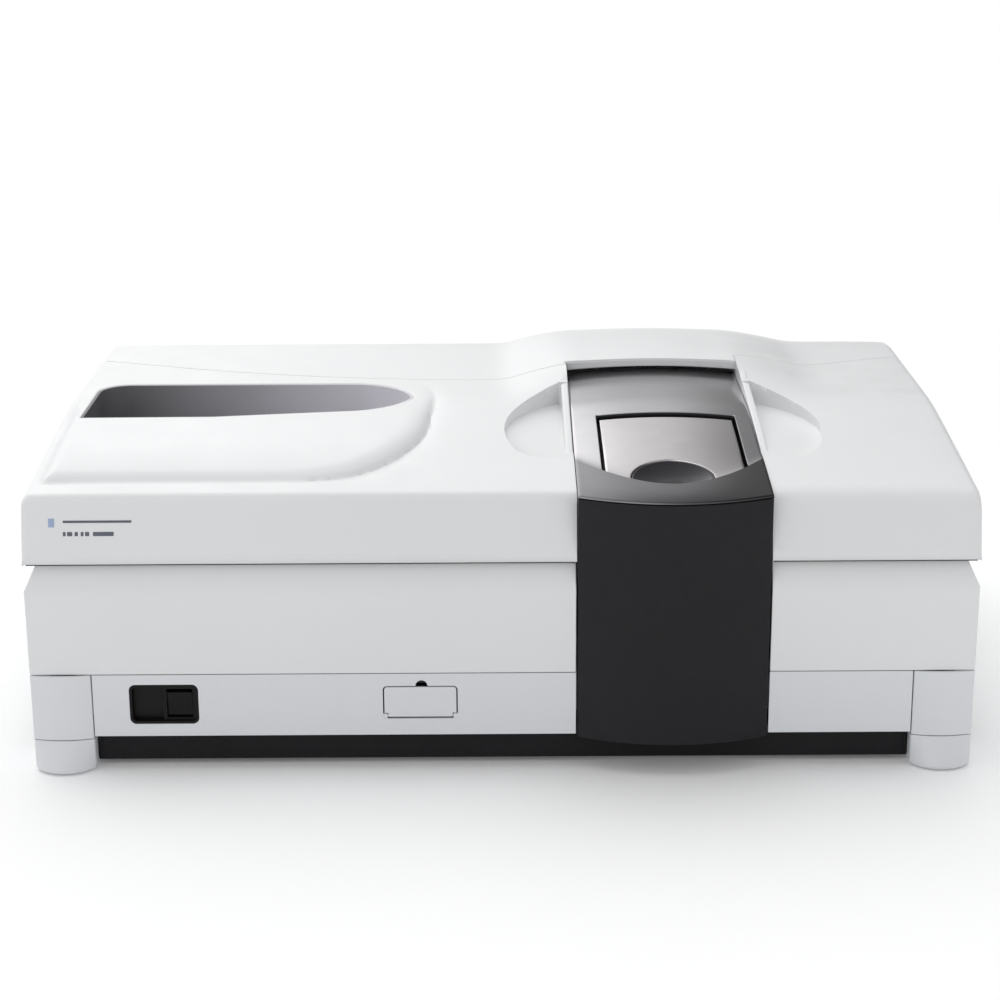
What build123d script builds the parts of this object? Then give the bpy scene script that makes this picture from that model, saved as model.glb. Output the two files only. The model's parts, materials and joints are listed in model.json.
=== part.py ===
from build123d import *
import os

# Bench-top spectrophotometer: case on four feet, lift-off top covers, a sliding lid over the
# sample bay, and the optics, detectors and electronics inside. One STEP file for each piece.
# Frame, mm: X to the right, Y to the rear, Z up, Z = 0 on the bench, X = 0 in the middle.
# "Depth" is always the distance behind the case front face.

os.makedirs("parts", exist_ok=True)

CUT = Mode.SUBTRACT
KEEP = Mode.INTERSECT

# ------------------------------------------------------------------ driving dimensions
HALF_W = 510.0           # half the width of the case
DEPTH = 630.0            # front face to rear face
Y_FRONT = -302.5         # Y of the case front face
SKIN = 3.0               # moulded skin thickness

Z_FOOT = 36.0            # top of the feet
Z_PANEL = 40.0           # bottom edge of the lower panels
TUB_Z0, TUB_Z1 = 60.0, 72.0    # underside and top of the cast base floor
Z_LOW = 111.0            # seam between lower panels and lower housing
Z_SHOULDER = 206.0       # bottom of the chamfered shoulder
Z_SEAM = 235.0           # seam between lower housing and top covers
Z_COVER = Z_SEAM + 1     # bottom edge of the top covers
Z_TOP = 337.5            # level of the flat top
Z_UNDER, Z_OVER = 200, 420     # levels clear of the top covers, for cutting tools
SHOULDER_IN = 13.0       # how far the shoulder leans in

POD = 66.0               # corner pod side
FOOT_X = HALF_W - POD / 2
FEET_AT = [(x, depth) for depth in (POD / 2, DEPTH - POD / 2) for x in (-FOOT_X, FOOT_X)]
PANEL_X = HALF_W - POD - 0.8   # outer end of the front and rear panels

BAY_X0, BAY_X1 = 80.0, 288.0   # sample bay opening
BAY_XC = (BAY_X0 + BAY_X1) / 2
BAY_HALF = (BAY_X1 - BAY_X0) / 2
BAY_GAP = 0.6            # gap between the bay opening and the case pieces beside it
BULGE = 25.0             # how far the bay panel stands in front of the case
RIM = 8.0                # width of the raised rims beside the lid
ARCH_D = 413.0           # front of the arch the lid runs under
SCOOP_R, SCOOP_D, SCOOP_Z = 181.0, 190.0, 319.5   # round dish around the lid, floor level
SEAM_R, SEAM_D = 1139.5, 1539.5                   # arc seam of the top covers: radius, centre
SEAM_GAP = 1.0

# Pins on the lower housing and bosses in the covers, where the covers sit
CATCHES_LEFT, CATCHES_RIGHT = (-420, 20), (330, 468)   # X of the front catches
CATCH_DEPTH = 22
SIDE_CATCH_X, SIDE_CATCH_DEPTH = 488, 300
CATCH_HALF = 8
CATCH_PIN_R = 3

# Openings in the lower left front panel
SWITCH_X0, SWITCH_X1, SWITCH_Z0, SWITCH_Z1 = -404, -329, 54, 99.5
FLAP_X0, FLAP_X1, FLAP_Z0, FLAP_Z1 = -128, -50, 60, 95
FLAP_GAP = 1.5

# Rear panel
FANS = ((-330, 160), (385, 160))    # X, Z
SCREW_XS, SCREW_Z = (-250, 0, 250, 430), 91

# Optics
BEAM_DEPTHS, BEAM_Z = (110, 190), 176.0     # the two beams across the sample bay
SLIT_XS = (-385, -110)
MIRROR_XS = (-335, -150)
OPTIC_Z = 150                               # axis height in the monochromators


# ------------------------------------------------------------------ helpers
def y_at(depth):
    return Y_FRONT + depth


def span(side, inner, outer):
    """Left and right X of a piece on one side: -1 for left, 1 for right."""
    return sorted((side * inner, side * outer))


def save(builder, name):
    builder.part.label = name
    export_step(builder.part, f"parts/{name}.step")


def plan_rectangle(left, right, front, back, z):
    with BuildSketch(Plane.XY.offset(z)) as plan:
        with Locations(((left + right) / 2, y_at((front + back) / 2))):
            Rectangle(right - left, back - front)
    return plan.sketch


def block(left, right, front, back, bottom, top, mode=Mode.ADD):
    extrude(plan_rectangle(left, right, front, back, bottom), amount=top - bottom, mode=mode)


def post(x, depth, half, bottom, top, mode=Mode.ADD):
    """Square upright block, half its side each way."""
    block(x - half, x + half, depth - half, depth + half, bottom, top, mode=mode)


def box(left, right, front, back, bottom, top, wall, hollow_bottom, hollow_top):
    """Block with side walls of one thickness, hollow between two levels."""
    block(left, right, front, back, bottom, top)
    block(left + wall, right - wall, front + wall, back - wall, hollow_bottom, hollow_top,
          mode=CUT)


def rounded_block(left, right, front, back, bottom, top, radius, mode=Mode.ADD):
    """Block with its upright edges rounded."""
    with BuildSketch(Plane.XY.offset(bottom)) as plan:
        with Locations(((left + right) / 2, y_at((front + back) / 2))):
            RectangleRounded(right - left, back - front, radius)
    extrude(plan.sketch, amount=top - bottom, mode=mode)


def rounded_face(left, right, bottom, top, front, back, radius, mode=Mode.ADD):
    """Block with its front-to-rear edges rounded."""
    with BuildSketch(Plane.XZ.offset(-y_at(front))) as face:
        with Locations(((left + right) / 2, (bottom + top) / 2)):
            RectangleRounded(right - left, top - bottom, radius)
    extrude(face.sketch, amount=-(back - front), mode=mode)


def bowed_block(left, right, front, middle, back, bottom, top, mode=Mode.ADD):
    """Block whose front bows from depth front at its ends to depth middle."""
    with BuildSketch(Plane.XY.offset(bottom)) as plan:
        with BuildLine():
            ThreePointArc((left, y_at(front)), ((left + right) / 2, y_at(middle)),
                          (right, y_at(front)))
            Polyline((right, y_at(front)), (right, y_at(back)), (left, y_at(back)),
                     (left, y_at(front)))
        make_face()
    extrude(plan.sketch, amount=top - bottom, mode=mode)


def rod_z(x, depth, radius, bottom, top, mode=Mode.ADD):
    with BuildSketch(Plane.XY.offset(bottom)) as disc:
        with Locations((x, y_at(depth))):
            Circle(radius)
    extrude(disc.sketch, amount=top - bottom, mode=mode)


def rod_x(depth, z, radius, left, right, mode=Mode.ADD):
    with BuildSketch(Plane.YZ.offset(left)) as disc:
        with Locations((y_at(depth), z)):
            Circle(radius)
    extrude(disc.sketch, amount=right - left, mode=mode)


def rod_y(x, z, radius, front, back, mode=Mode.ADD):
    with BuildSketch(Plane.XZ.offset(-y_at(front))) as disc:
        with Locations((x, z)):
            Circle(radius)
    extrude(disc.sketch, amount=-(back - front), mode=mode)


def arched_face(depth, left, right, side_z, middle_z, base_z):
    """Upright face across the bay: an arc over its width, closed by a straight edge at base_z."""
    with BuildSketch(Plane.XZ.offset(-y_at(depth))) as face:
        with BuildLine():
            ThreePointArc((left, side_z), (BAY_XC, middle_z), (right, side_z))
            Line((right, side_z), (right, base_z))
            Line((right, base_z), (left, base_z))
            Line((left, base_z), (left, side_z))
        make_face()
    return face.sketch


# ------------------------------------------------------------------ outer form of the top covers
# Top line from the front edge to the flat top: depth, Z
TOP_LINE = [(24, 309), (45, 311.8), (80, 316), (127, 321), (180, 326.2), (230, 331),
            (256, 333.4), (290, 335.9), (330, Z_TOP)]


def side_profile(inset, left, right, mode=Mode.ADD):
    """Side profile of the top covers, pulled in by inset, run from left to right."""
    base = Z_COVER - inset
    nose_low = (y_at(16.5 + inset), 303 - 0.4 * inset)
    nose_middle = (y_at(19.3 + 0.8 * inset), 307.2 - 0.75 * inset)
    top = [(y_at(depth) + 0.18 * inset, z - inset) for depth, z in TOP_LINE]
    flat_end = (y_at(560), Z_TOP - inset)
    fall_end = (y_at(624 - inset), 330.5 - inset)
    with BuildSketch(Plane.YZ.offset(left)) as profile:
        with BuildLine():
            Line((y_at(inset), base), nose_low)
            ThreePointArc(nose_low, nose_middle, top[0])
            Spline(top, tangents=[(1, 0.13), (1, 0)])
            Line(top[-1], flat_end)
            Spline([flat_end, (y_at(600), 335.5 - inset), fall_end],
                   tangents=[(1, 0), (1, -0.35)])
            Polyline(fall_end, (y_at(DEPTH - inset), 324 - inset), (y_at(DEPTH - inset), base),
                     (y_at(inset), base))
        make_face()
    extrude(profile.sketch, amount=right - left, mode=mode)


# Bell section of the hump: X, share of full height
BELL = [(-14, 0.0), (8, 0.09), (34, 0.42), (72, 0.80), (120, 0.93), (BAY_XC, 1.0),
        (248, 0.93), (296, 0.80), (340, 0.42), (370, 0.09), (396, 0.0)]
# Hump stations: depth, drop of the bell's foot below the flat top, full height of the bell
HUMP = [(262, 7, 0.01), (300, 1, 3.5), (350, 1, 14.0), (ARCH_D, 1, 23.0), (500, 1, 24.5),
        (570, 1, 21.0), (DEPTH - 0.5, 7, 20.0)]


def hump(inset):
    """Raised hump behind the lid, lofted through bell sections, pulled in by inset."""
    narrow = 1 - inset / 200.0
    base = 300 - inset
    sections = []
    for depth, drop, height in HUMP:
        foot = Z_TOP - drop - inset
        bell = [(BAY_XC + (x - BAY_XC) * narrow, foot + share * height) for x, share in BELL]
        (left, _), (right, _) = bell[0], bell[-1]
        with BuildSketch(Plane.XZ.offset(-y_at(min(depth, DEPTH - 0.5 - inset)))) as section:
            with BuildLine():
                Spline(bell, tangents=[(1, 0.02), (1, -0.02)])
                Line(bell[-1], (right, base))
                Line((right, base), (left, base))
                Line((left, base), bell[0])
            make_face()
        sections.append(section.sketch)
    loft(sections)


# Top line of the rims: depth, Z
RIM_TOP = [(40, 298), (80, 307.3), (127, 318), (180, 327.6), (230, 335), (300, 344.5),
           (350, 350.5), (ARCH_D + 2, 356)]


def rims():
    """Raised rims either side of the lid, rising from the front slope to the arch."""
    top = [(y_at(depth), z) for depth, z in RIM_TOP]
    for left, right in ((BAY_X0 - RIM, BAY_X0 + 2), (BAY_X1 - 2, BAY_X1 + RIM)):
        with BuildSketch(Plane.YZ.offset(left)) as profile:
            with BuildLine():
                Spline(top, tangents=[(1, 0.22), (1, 0.09)])
                Polyline(top[-1], (top[-1][0], Z_COVER), (top[0][0], Z_COVER), top[0])
            make_face()
        extrude(profile.sketch, amount=right - left)


def tray_outline(grow, bottom, top, mode=Mode.ADD):
    """Tray pocket: square front-left corner, round rear-left corner, pointed right end."""
    with BuildSketch(Plane.XY.offset(bottom)) as plan:
        with BuildLine():
            Line((-483, y_at(231)), (-483, y_at(350)))
            RadiusArc((-483, y_at(350)), (-447, y_at(386)), 36)
            Line((-447, y_at(386)), (-178, y_at(386)))
            ThreePointArc((-178, y_at(386)), (-130, y_at(367)), (-104, y_at(322)))
            ThreePointArc((-104, y_at(322)), (-102.8, y_at(319)), (-104, y_at(316)))
            ThreePointArc((-104, y_at(316)), (-127, y_at(278)), (-168, y_at(255)))
            Line((-168, y_at(255)), (-330, y_at(232)))
            Line((-330, y_at(232)), (-483, y_at(231)))
        make_face()
        if grow:
            offset(amount=grow)
    extrude(plan.sketch, amount=top - bottom, mode=mode)


PILLOW_X0, PILLOW_X1 = -496, -78
# Top line of the pillow: depth, Z
PILLOW_TOP = [(54, 308), (68, 315.5), (92, 323.5), (130, 330), (175, 334.3), (222, Z_TOP)]


def pillow(inset):
    """Raised pillow that carries the front lip of the tray level across the slope."""
    top = [(y_at(depth), z - inset) for depth, z in PILLOW_TOP]
    base = 296 - inset
    left = PILLOW_X0 + inset
    with BuildPart() as form:
        with BuildSketch(Plane.YZ.offset(left)) as profile:
            with BuildLine():
                Spline(top, tangents=[(1, 0.35), (1, 0.04)])
                Polyline(top[-1], (y_at(330), Z_TOP - inset), (y_at(330), base),
                         (y_at(54), base), top[0])
            make_face()
        extrude(profile.sketch, amount=PILLOW_X1 - PILLOW_X0 - 2 * inset)
        # plan: straight left end, boat-hull right end
        hull = [(-84 - inset, y_at(345)), (-80 - inset, y_at(300)), (-84 - inset, y_at(200)),
                (-131 - inset, y_at(96)), (-190 - inset, y_at(60)), (-255, y_at(52))]
        with BuildSketch(Plane.XY.offset(290)) as plan:
            with BuildLine():
                Line((left, y_at(52)), (left, y_at(345)))
                Line((left, y_at(345)), hull[0])
                Spline(hull, tangents=[(0.2, -1), (-1, -0.02)])
                Line(hull[-1], (left, y_at(52)))
            make_face()
        extrude(plan.sketch, amount=60, mode=KEEP)
    return form.part


pillow_outer = pillow(0)
pillow_inner = pillow(SKIN)

with BuildPart() as envelope:
    side_profile(0, -HALF_W, HALF_W)
    # guards the rounding of the end edges: if it fails they stay sharp
    try:
        end_edges = [e for e in envelope.edges()
                     if abs(abs(e.center().X) - HALF_W) < 0.01 and e.center().Z > Z_SEAM + 6]
        fillet(end_edges, radius=6)
    except Exception:
        pass
    hump(0)
    # the dish keeps its floor at SCOOP_Z wherever the skin is higher
    rod_z(BAY_XC, SCOOP_D, SCOOP_R, SCOOP_Z, SCOOP_Z + 80, mode=CUT)
    rims()
    add(pillow_outer)
    tray_outline(0, 290, Z_OVER, mode=CUT)

with BuildPart() as cavity:
    side_profile(SKIN, -HALF_W + SKIN, HALF_W - SKIN)
    hump(SKIN)
    rod_z(BAY_XC, SCOOP_D, SCOOP_R + SKIN, SCOOP_Z - SKIN, SCOOP_Z - SKIN + 80, mode=CUT)
    add(pillow_inner)
    tray_outline(SKIN, 290 - SKIN, Z_OVER, mode=CUT)
    block(BAY_X0 - RIM, BAY_X0, 0, ARCH_D, Z_UNDER, Z_OVER, mode=CUT)
    block(BAY_X1, BAY_X1 + RIM, 0, ARCH_D, Z_UNDER, Z_OVER, mode=CUT)


# ------------------------------------------------------------------ top covers
def catch_boss_hole(x, depth):
    rod_z(x, depth, CATCH_PIN_R + 0.05, 230, 248, mode=CUT)


def save_front_cover(name, left, right, side, front_catches):
    """Cover beside the lid, in front of the arc seam, with bosses for the catch pins."""
    boss_z = (240, 252)
    with BuildPart() as cover:
        add(envelope.part)
        add(cavity.part, mode=CUT)
        block(left, right, -5, 545, Z_UNDER, Z_OVER, mode=KEEP)
        rod_z(0, SEAM_D, SEAM_R + SEAM_GAP, Z_UNDER, 400, mode=CUT)
        for x in front_catches:
            block(x - CATCH_HALF, x + CATCH_HALF, 1.8, 28, *boss_z)
            catch_boss_hole(x, CATCH_DEPTH)
        block(*span(side, 481, HALF_W - 1.5), SIDE_CATCH_DEPTH - CATCH_HALF,
              SIDE_CATCH_DEPTH + CATCH_HALF, *boss_z)
        catch_boss_hole(side * SIDE_CATCH_X, SIDE_CATCH_DEPTH)
    save(cover, name)


save_front_cover("left_cover", -HALF_W - 2, BAY_X0 - BAY_GAP, -1, CATCHES_LEFT)
save_front_cover("right_cover", BAY_X1 + BAY_GAP, HALF_W + 2, 1, CATCHES_RIGHT)

with BuildPart() as rear_region:       # everything behind the seam, and the arch over the lid
    rod_z(0, SEAM_D, SEAM_R, Z_UNDER, 400)
    block(BAY_X0 - BAY_GAP, BAY_X1 + 0.2, ARCH_D, 560, Z_UNDER, 400)

THROAT_SIDE_Z, THROAT_MIDDLE_Z = 345.5, 350.5
ARCH_WALL_H = 8.5        # height of the arch's front wall above the throat

with BuildPart() as rear_top_cover:
    add(envelope.part)
    add(cavity.part, mode=CUT)
    add(rear_region.part, mode=KEEP)
    block(-HALF_W - 2, HALF_W + 2, 395, DEPTH + 5, Z_UNDER, Z_OVER, mode=KEEP)
    block(BAY_X0 - BAY_GAP, BAY_X1 + BAY_GAP, 380, ARCH_D, Z_UNDER, Z_OVER, mode=CUT)
    # throat under the arch: a crowned opening the lid runs through
    extrude(arched_face(ARCH_D - 5, BAY_X0 - 1, BAY_X1 + 1, THROAT_SIDE_Z, THROAT_MIDDLE_Z,
                        Z_UNDER), amount=-60, mode=CUT)
    # front wall of the arch above the throat
    left, right = BAY_X0 - 0.4, BAY_X1 + 0.2
    wall_top = THROAT_SIDE_Z + ARCH_WALL_H
    with BuildSketch(Plane.XZ.offset(-y_at(ARCH_D))):
        with BuildLine():
            ThreePointArc((left, THROAT_SIDE_Z), (BAY_XC, THROAT_MIDDLE_Z),
                          (right, THROAT_SIDE_Z))
            Line((right, THROAT_SIDE_Z), (right, wall_top))
            ThreePointArc((right, wall_top), (BAY_XC, THROAT_MIDDLE_Z + ARCH_WALL_H),
                          (left, wall_top))
            Line((left, wall_top), (left, THROAT_SIDE_Z))
        make_face()
    extrude(amount=-SKIN)
save(rear_top_cover, "rear_top_cover")

# ------------------------------------------------------------------ fittings of the left cover
with BuildPart() as tray_liner:
    tray_outline(-0.5, 290.3, 336.6)
    tray_outline(-3.0, 293.0, 345, mode=CUT)
save(tray_liner, "tray_liner")

# Areas cleared from the badge skin to leave the marks: left, right, bottom, top
BADGE_CLEAR = (
    (-471, -465, 262, 288), (-465, -388, 282.6, 288), (-465, -388, 270.5, 280.4),
    (-465, -388, 262, 266.5), (-390.5, -386, 262, 288), (-481, -471, 262, 276),
    (-409, -380, 266, 271), (-456.5, -452, 266, 271), (-446, -441, 266, 271),
    (-433, -429, 266, 271), (-420, -417, 266, 271))

with BuildPart() as badge_marks:       # 0.4 thick, on the front face
    side_profile(-0.4, -484, -388)
    side_profile(0, -490, -380, mode=CUT)
    block(-481, -388, -5, 16, 265, 286, mode=KEEP)
    for left, right, bottom, top in BADGE_CLEAR:
        block(left, right, -5, 18, bottom, top, mode=CUT)
save(badge_marks, "badge_marks")

# ------------------------------------------------------------------ lid, inset and finger cup
# Lid stations: depth, Z at the sides, Z in the middle
LID = [(-32, 309.0, 309.6), (-20, 309.6, 310.8), (8, 311.0, 313.8), (40, 313.2, 318.0),
       (75, 315.8, 322.6), (110, 319.2, 327.2), (145, 323.2, 331.9), (190, 328.6, 337.2),
       (240, 333.6, 341.0), (300, 336.8, 343.6), (360, 337.8, 344.3), (430, 338.2, 344.5)]
LID_GAP = 0.7            # beside the lid
LID_WALL_X = LID_GAP + 4       # inner face of the lid's side walls, from the bay edge
# Plans for behind_arc: shift, left, right, rear, sag
RECESS = (50, 109, 268, 232, 62)
INSET = (112.5, 264.5, 224.5, 62)      # the same without its shift
CUP_DEPTH = 48
BAY_EDGE_SIDE_Z, BAY_EDGE_MIDDLE_Z = 306.7, 305.9   # bowed top edge of the bay panel
RAILS_X = ((BAY_X0 + 4, BAY_X0 + 10), (BAY_X1 - 10, BAY_X1 - 4))


def lid_form(drop, side=LID_GAP, base=270):
    """Crowned lid body, its top lowered by drop, its sides set in by side from the bay."""
    loft([arched_face(depth, BAY_X0 + side, BAY_X1 - side, side_z - drop, middle_z - drop, base)
          for depth, side_z, middle_z in LID])


def behind_arc(shift, left, right, rear, sag=24.0):
    """Keep what lies behind an arc across the bay; sag is its set-back at the bay edges."""
    def arc_point(x):
        return x, y_at(shift - 24.0 + sag * ((x - BAY_XC) / BAY_HALF) ** 2)

    with BuildSketch(Plane.XY.offset(280)) as plan:
        with BuildLine():
            ThreePointArc(arc_point(left), arc_point((left + right) / 2), arc_point(right))
            Polyline(arc_point(right), (right, y_at(rear)), (left, y_at(rear)), arc_point(left))
        make_face()
    extrude(plan.sketch, amount=90, mode=KEEP)


def lid_solid(drop, plan=None, **form):
    """Lid body on its own, limited to a plan if one is given."""
    with BuildPart() as solid:
        lid_form(drop, **form)
        if plan:
            behind_arc(*plan)
    return solid.part


recess = lid_solid(0, RECESS)
recess_floor = lid_solid(9)
cup_limit = lid_solid(2.0, (50.8, *INSET))     # keeps the finger cup below the inset's top
inset_under = lid_solid(6.5)
# space under the recessed part of the lid
hollow_front = lid_solid(12, (12, BAY_X0 + LID_WALL_X, BAY_X1 - LID_WALL_X, 426),
                         side=LID_WALL_X, base=268)

with BuildPart() as hollow_rear:       # space under the plain rear part of the lid
    lid_form(4, side=LID_WALL_X, base=268)
    block(BAY_X0 + LID_WALL_X, BAY_X1 - LID_WALL_X, 238, 426, 270, 360, mode=KEEP)

with BuildPart() as lid_well:          # recess that holds the inset panel
    add(recess)
    add(recess_floor, mode=CUT)

with BuildPart() as cup_hole:          # hole in the recess floor for the finger cup
    rod_z(BAY_XC, CUP_DEPTH, 45.4, 290, 350)
    behind_arc(*RECESS)

with BuildPart() as lid:
    lid_form(0)
    behind_arc(0, BAY_X0 + LID_GAP, BAY_X1 - LID_GAP, 430)
    add(hollow_front, mode=CUT)
    add(hollow_rear.part, mode=CUT)
    add(lid_well.part, mode=CUT)
    add(cup_hole.part, mode=CUT)
    # front lip stays 0.8 above the bowed top edge of the bay panel
    extrude(arched_face(-40, BAY_X0 - 5, BAY_X1 + 5, BAY_EDGE_SIDE_Z + 0.8,
                        BAY_EDGE_MIDDLE_Z + 0.8, 270), amount=-54, mode=CUT)
    block(BAY_X0, BAY_X1, 13.5, 440, 260, 296, mode=CUT)
    # four runners that glide on the rails
    for front in (60, 330):
        for left, right in RAILS_X:
            block(left, right, front, front + 40, 292.1, 304)
save(lid, "lid")

with BuildPart() as inset_space:       # between the recess floor and the inset's top
    lid_form(1.8)
    add(recess_floor, mode=CUT)

with BuildPart() as lid_inset:
    lid_form(1.8)
    behind_arc(50.6, *INSET)
    add(inset_under, mode=CUT)
    rod_z(BAY_XC, CUP_DEPTH, 45.0, 290, 350, mode=CUT)
    for x, depth in ((124, 200), (252, 200), (124, 110), (252, 110)):
        rod_z(x, depth, 3, 300, 345)
    add(inset_space.part, mode=KEEP)
save(lid_inset, "lid_inset")

with BuildPart() as finger_cup:
    rod_z(BAY_XC, CUP_DEPTH, 44.6, 302, 350)
    add(cup_limit, mode=KEEP)
    with Locations((BAY_XC, y_at(CUP_DEPTH + 2), 377.5)):
        Sphere(70, mode=CUT)
save(finger_cup, "finger_cup")

with BuildPart() as lid_rails:
    for left, right in RAILS_X:
        block(left, right, 30, 604, 284.4, 292)
save(lid_rails, "lid_rails")

# ------------------------------------------------------------------ bowed front panel of the bay
with BuildPart() as bay_front_panel:
    bowed_block(BAY_X0 + 0.8, BAY_X1 - 0.8, 0, -BULGE, 9, Z_FOOT, 310)
    bowed_block(BAY_X0 + 4.8, BAY_X1 - 4.8, 2, -BULGE + 4, 12, Z_PANEL, 320, mode=CUT)
    extrude(arched_face(-40, BAY_X0 - 5, BAY_X1 + 5, BAY_EDGE_SIDE_Z, BAY_EDGE_MIDDLE_Z, 330),
            amount=-60, mode=CUT)
save(bay_front_panel, "bay_front_panel")

# ------------------------------------------------------------------ cast base, plinth and feet
with BuildPart() as base_casting:
    box(-492, 492, 20, 612, TUB_Z0, Z_LOW, wall=8, hollow_bottom=TUB_Z1, hollow_top=Z_LOW + 5)
    # gaps in the front wall for the sample bay, the power switch and the flap well
    block(BAY_X0 + 4, BAY_X1 - 4, 15, 40, TUB_Z1, Z_LOW + 5, mode=CUT)
    block(SWITCH_X0 - 6, SWITCH_X1 + 7, 15, 56, 50, Z_LOW + 5, mode=CUT)
    block(FLAP_X0 - 8, FLAP_X1 + 8, 15, 50, 50, Z_LOW + 5, mode=CUT)
    # ribs under the floor
    for x in (-300, -100, 100, 300):
        block(x - 3, x + 3, 116 if x == 100 else 80, 572, 48, TUB_Z0)
    for depth in (200, 440):
        block(-420, 420, depth - 3, depth + 3, 48, TUB_Z0)
    # sockets for the feet
    for x, depth in FEET_AT:
        rod_z(x, depth, 12, 40.3, TUB_Z0)
        post(x, depth, 15, TUB_Z0, TUB_Z1)
        rod_z(x, depth, 5.1, 40, 58, mode=CUT)
    # lugs for the rear panel screws
    for x in SCREW_XS:
        block(x - 7, x + 7, 611, 626.4, SCREW_Z - 7, SCREW_Z + 7)
        rod_y(x, SCREW_Z, 2.1, 612.5, 627, mode=CUT)
save(base_casting, "base_casting")

with BuildPart() as plinth_skirt:
    box(-438, 438, 62, 588, 10, 59.6, wall=3, hollow_bottom=5, hollow_top=70)
    # inward lip under the base
    box(-435.5, 435.5, 64.5, 585.5, 57.6, 59.6, wall=8.5, hollow_bottom=50, hollow_top=70)
    # hollow toe reaching forward under the lower panels and the sample bay
    block(-438, 438, 16, 65, 6, 46)
    block(-435.5, 435.5, 18.5, 62, 0, 43.5, mode=CUT)
save(plinth_skirt, "plinth_skirt")

with BuildPart() as corner_pods:
    pod_z = (Z_FOOT + 0.6, Z_LOW - 0.4)
    hollow_z = (Z_PANEL + 0.1, Z_LOW + 3)
    for side in (-1, 1):
        width = span(side, HALF_W - POD + 0.4, HALF_W)
        bowed_block(*width, 0.8, 0.8 - 5, POD, *pod_z)
        block(*width, DEPTH - POD, DEPTH, *pod_z)
    # hollows, open on the sides that face into the case
    for side in (-1, 1):
        width = span(side, HALF_W - POD - 5, HALF_W - 4)
        bowed_block(*width, 4.5, 4.5 - 4, POD + 5, *hollow_z, mode=CUT)
        block(*width, DEPTH - POD - 5, DEPTH - 4.5, *hollow_z, mode=CUT)
    for x, depth in FEET_AT:
        rod_z(x, depth, 13, 30, 45, mode=CUT)
save(corner_pods, "corner_pods")

FOOT_Z0 = 1.5            # underside of the feet
FOOT_FRONT = 1.5         # depth of the front foot's front corners


def foot_section(bow, corner, z):
    """Plan of the front left foot at height z, its front corners rounded and its toe bowed."""
    outer, inner = -HALF_W, -(HALF_W - POD)
    with BuildSketch(Plane.XY.offset(z)) as plan:
        with BuildLine():
            ThreePointArc((outer, y_at(FOOT_FRONT)), (-FOOT_X, y_at(FOOT_FRONT - bow)),
                          (inner, y_at(FOOT_FRONT)))
            Line((inner, y_at(FOOT_FRONT)), (inner, y_at(POD)))
            Line((inner, y_at(POD)), (outer, y_at(POD)))
            Line((outer, y_at(POD)), (outer, y_at(FOOT_FRONT)))
        make_face()
        fillet([v for v in plan.vertices() if v.Y < y_at(10)], radius=corner)
    return plan.sketch.faces()[0]


with BuildPart() as feet:              # left feet, then mirrored to the right
    loft(sections=[foot_section(6, 3, Z_FOOT), foot_section(21, 9, FOOT_Z0)], ruled=True)
    block(-HALF_W, -(HALF_W - POD), DEPTH - POD, DEPTH - 0.5, FOOT_Z0, Z_FOOT)
    bottom_edges = [e for e in feet.edges() if abs(e.center().Z - FOOT_Z0) < 0.01]
    fillet(bottom_edges, radius=4)
    mirror(about=Plane.YZ)
    for x, depth in FEET_AT:
        rod_z(x, depth, 20.5, 0, 6, mode=CUT)
        rod_z(x, depth, 5, Z_FOOT, 56)
save(feet, "feet")

with BuildPart() as foot_pads:
    for x, depth in FEET_AT:
        rod_z(x, depth, 20, 0, 6)
save(foot_pads, "foot_pads")


# ------------------------------------------------------------------ lower housing
def lower_form(inset, bottom):
    """Lower housing form with the sloped shoulder at its top, pulled in by inset."""
    half = HALF_W - inset
    block(-half, half, inset, DEPTH - inset, bottom, Z_SHOULDER)
    loft([plan_rectangle(-half, half, inset, DEPTH - inset, Z_SHOULDER),
          plan_rectangle(-half + SHOULDER_IN, half - SHOULDER_IN, SHOULDER_IN + inset,
                         DEPTH - inset, Z_SEAM)])


with BuildPart() as lower_cavity:
    lower_form(3.5, 100)

with BuildPart() as lower_envelope:
    lower_form(0, Z_LOW + 0.2)
    add(lower_cavity.part, mode=CUT)
    # inward bottom flange over the base wall
    block(-509, 509, 1, 27, Z_LOW + 0.2, Z_LOW + 3)
    for side in (-1, 1):
        block(*span(side, 485, 509), 1, 600, Z_LOW + 0.2, Z_LOW + 3)
    # opening for the rear panel
    block(-PANEL_X - 0.4, PANEL_X + 0.4, 620, 632, 100, 250, mode=CUT)

for side_name, left, right in (("left", -520, BAY_X0 - BAY_GAP),
                               ("right", BAY_X1 + BAY_GAP, 520)):
    with BuildPart() as lower_housing:
        add(lower_envelope.part)
        block(left, right, -5, 640, 100, 250, mode=KEEP)
    save(lower_housing, f"lower_housing_{side_name}")

with BuildPart() as cover_catches:
    for x in CATCHES_LEFT + CATCHES_RIGHT:
        block(x - CATCH_HALF, x + CATCH_HALF, 2, 27, 196, 234)
    for side in (-1, 1):
        block(*span(side, 483, 509), SIDE_CATCH_DEPTH - CATCH_HALF,
              SIDE_CATCH_DEPTH + CATCH_HALF, 196, 234)
    add(lower_cavity.part, mode=KEEP)
    for x in CATCHES_LEFT + CATCHES_RIGHT:
        rod_z(x, CATCH_DEPTH, CATCH_PIN_R, 233, 247)
    for side in (-1, 1):
        rod_z(side * SIDE_CATCH_X, SIDE_CATCH_DEPTH, CATCH_PIN_R, 233, 247)
save(cover_catches, "cover_catches")

# ------------------------------------------------------------------ lower panels
PANEL_T = 3.5            # panel thickness
PANEL_TOP = Z_LOW - 0.4
FLAP_PIN = (1.8, 62)     # flap hinge pin: depth, Z


def front_panel(left, right):
    """Flat panel with an inward flange along its bottom and top."""
    block(left, right, 0, PANEL_T, Z_PANEL, PANEL_TOP)
    block(left, right, 3, 14, Z_PANEL, Z_PANEL + 3)
    block(left, right, 3, 12, PANEL_TOP - 3, PANEL_TOP)


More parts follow.
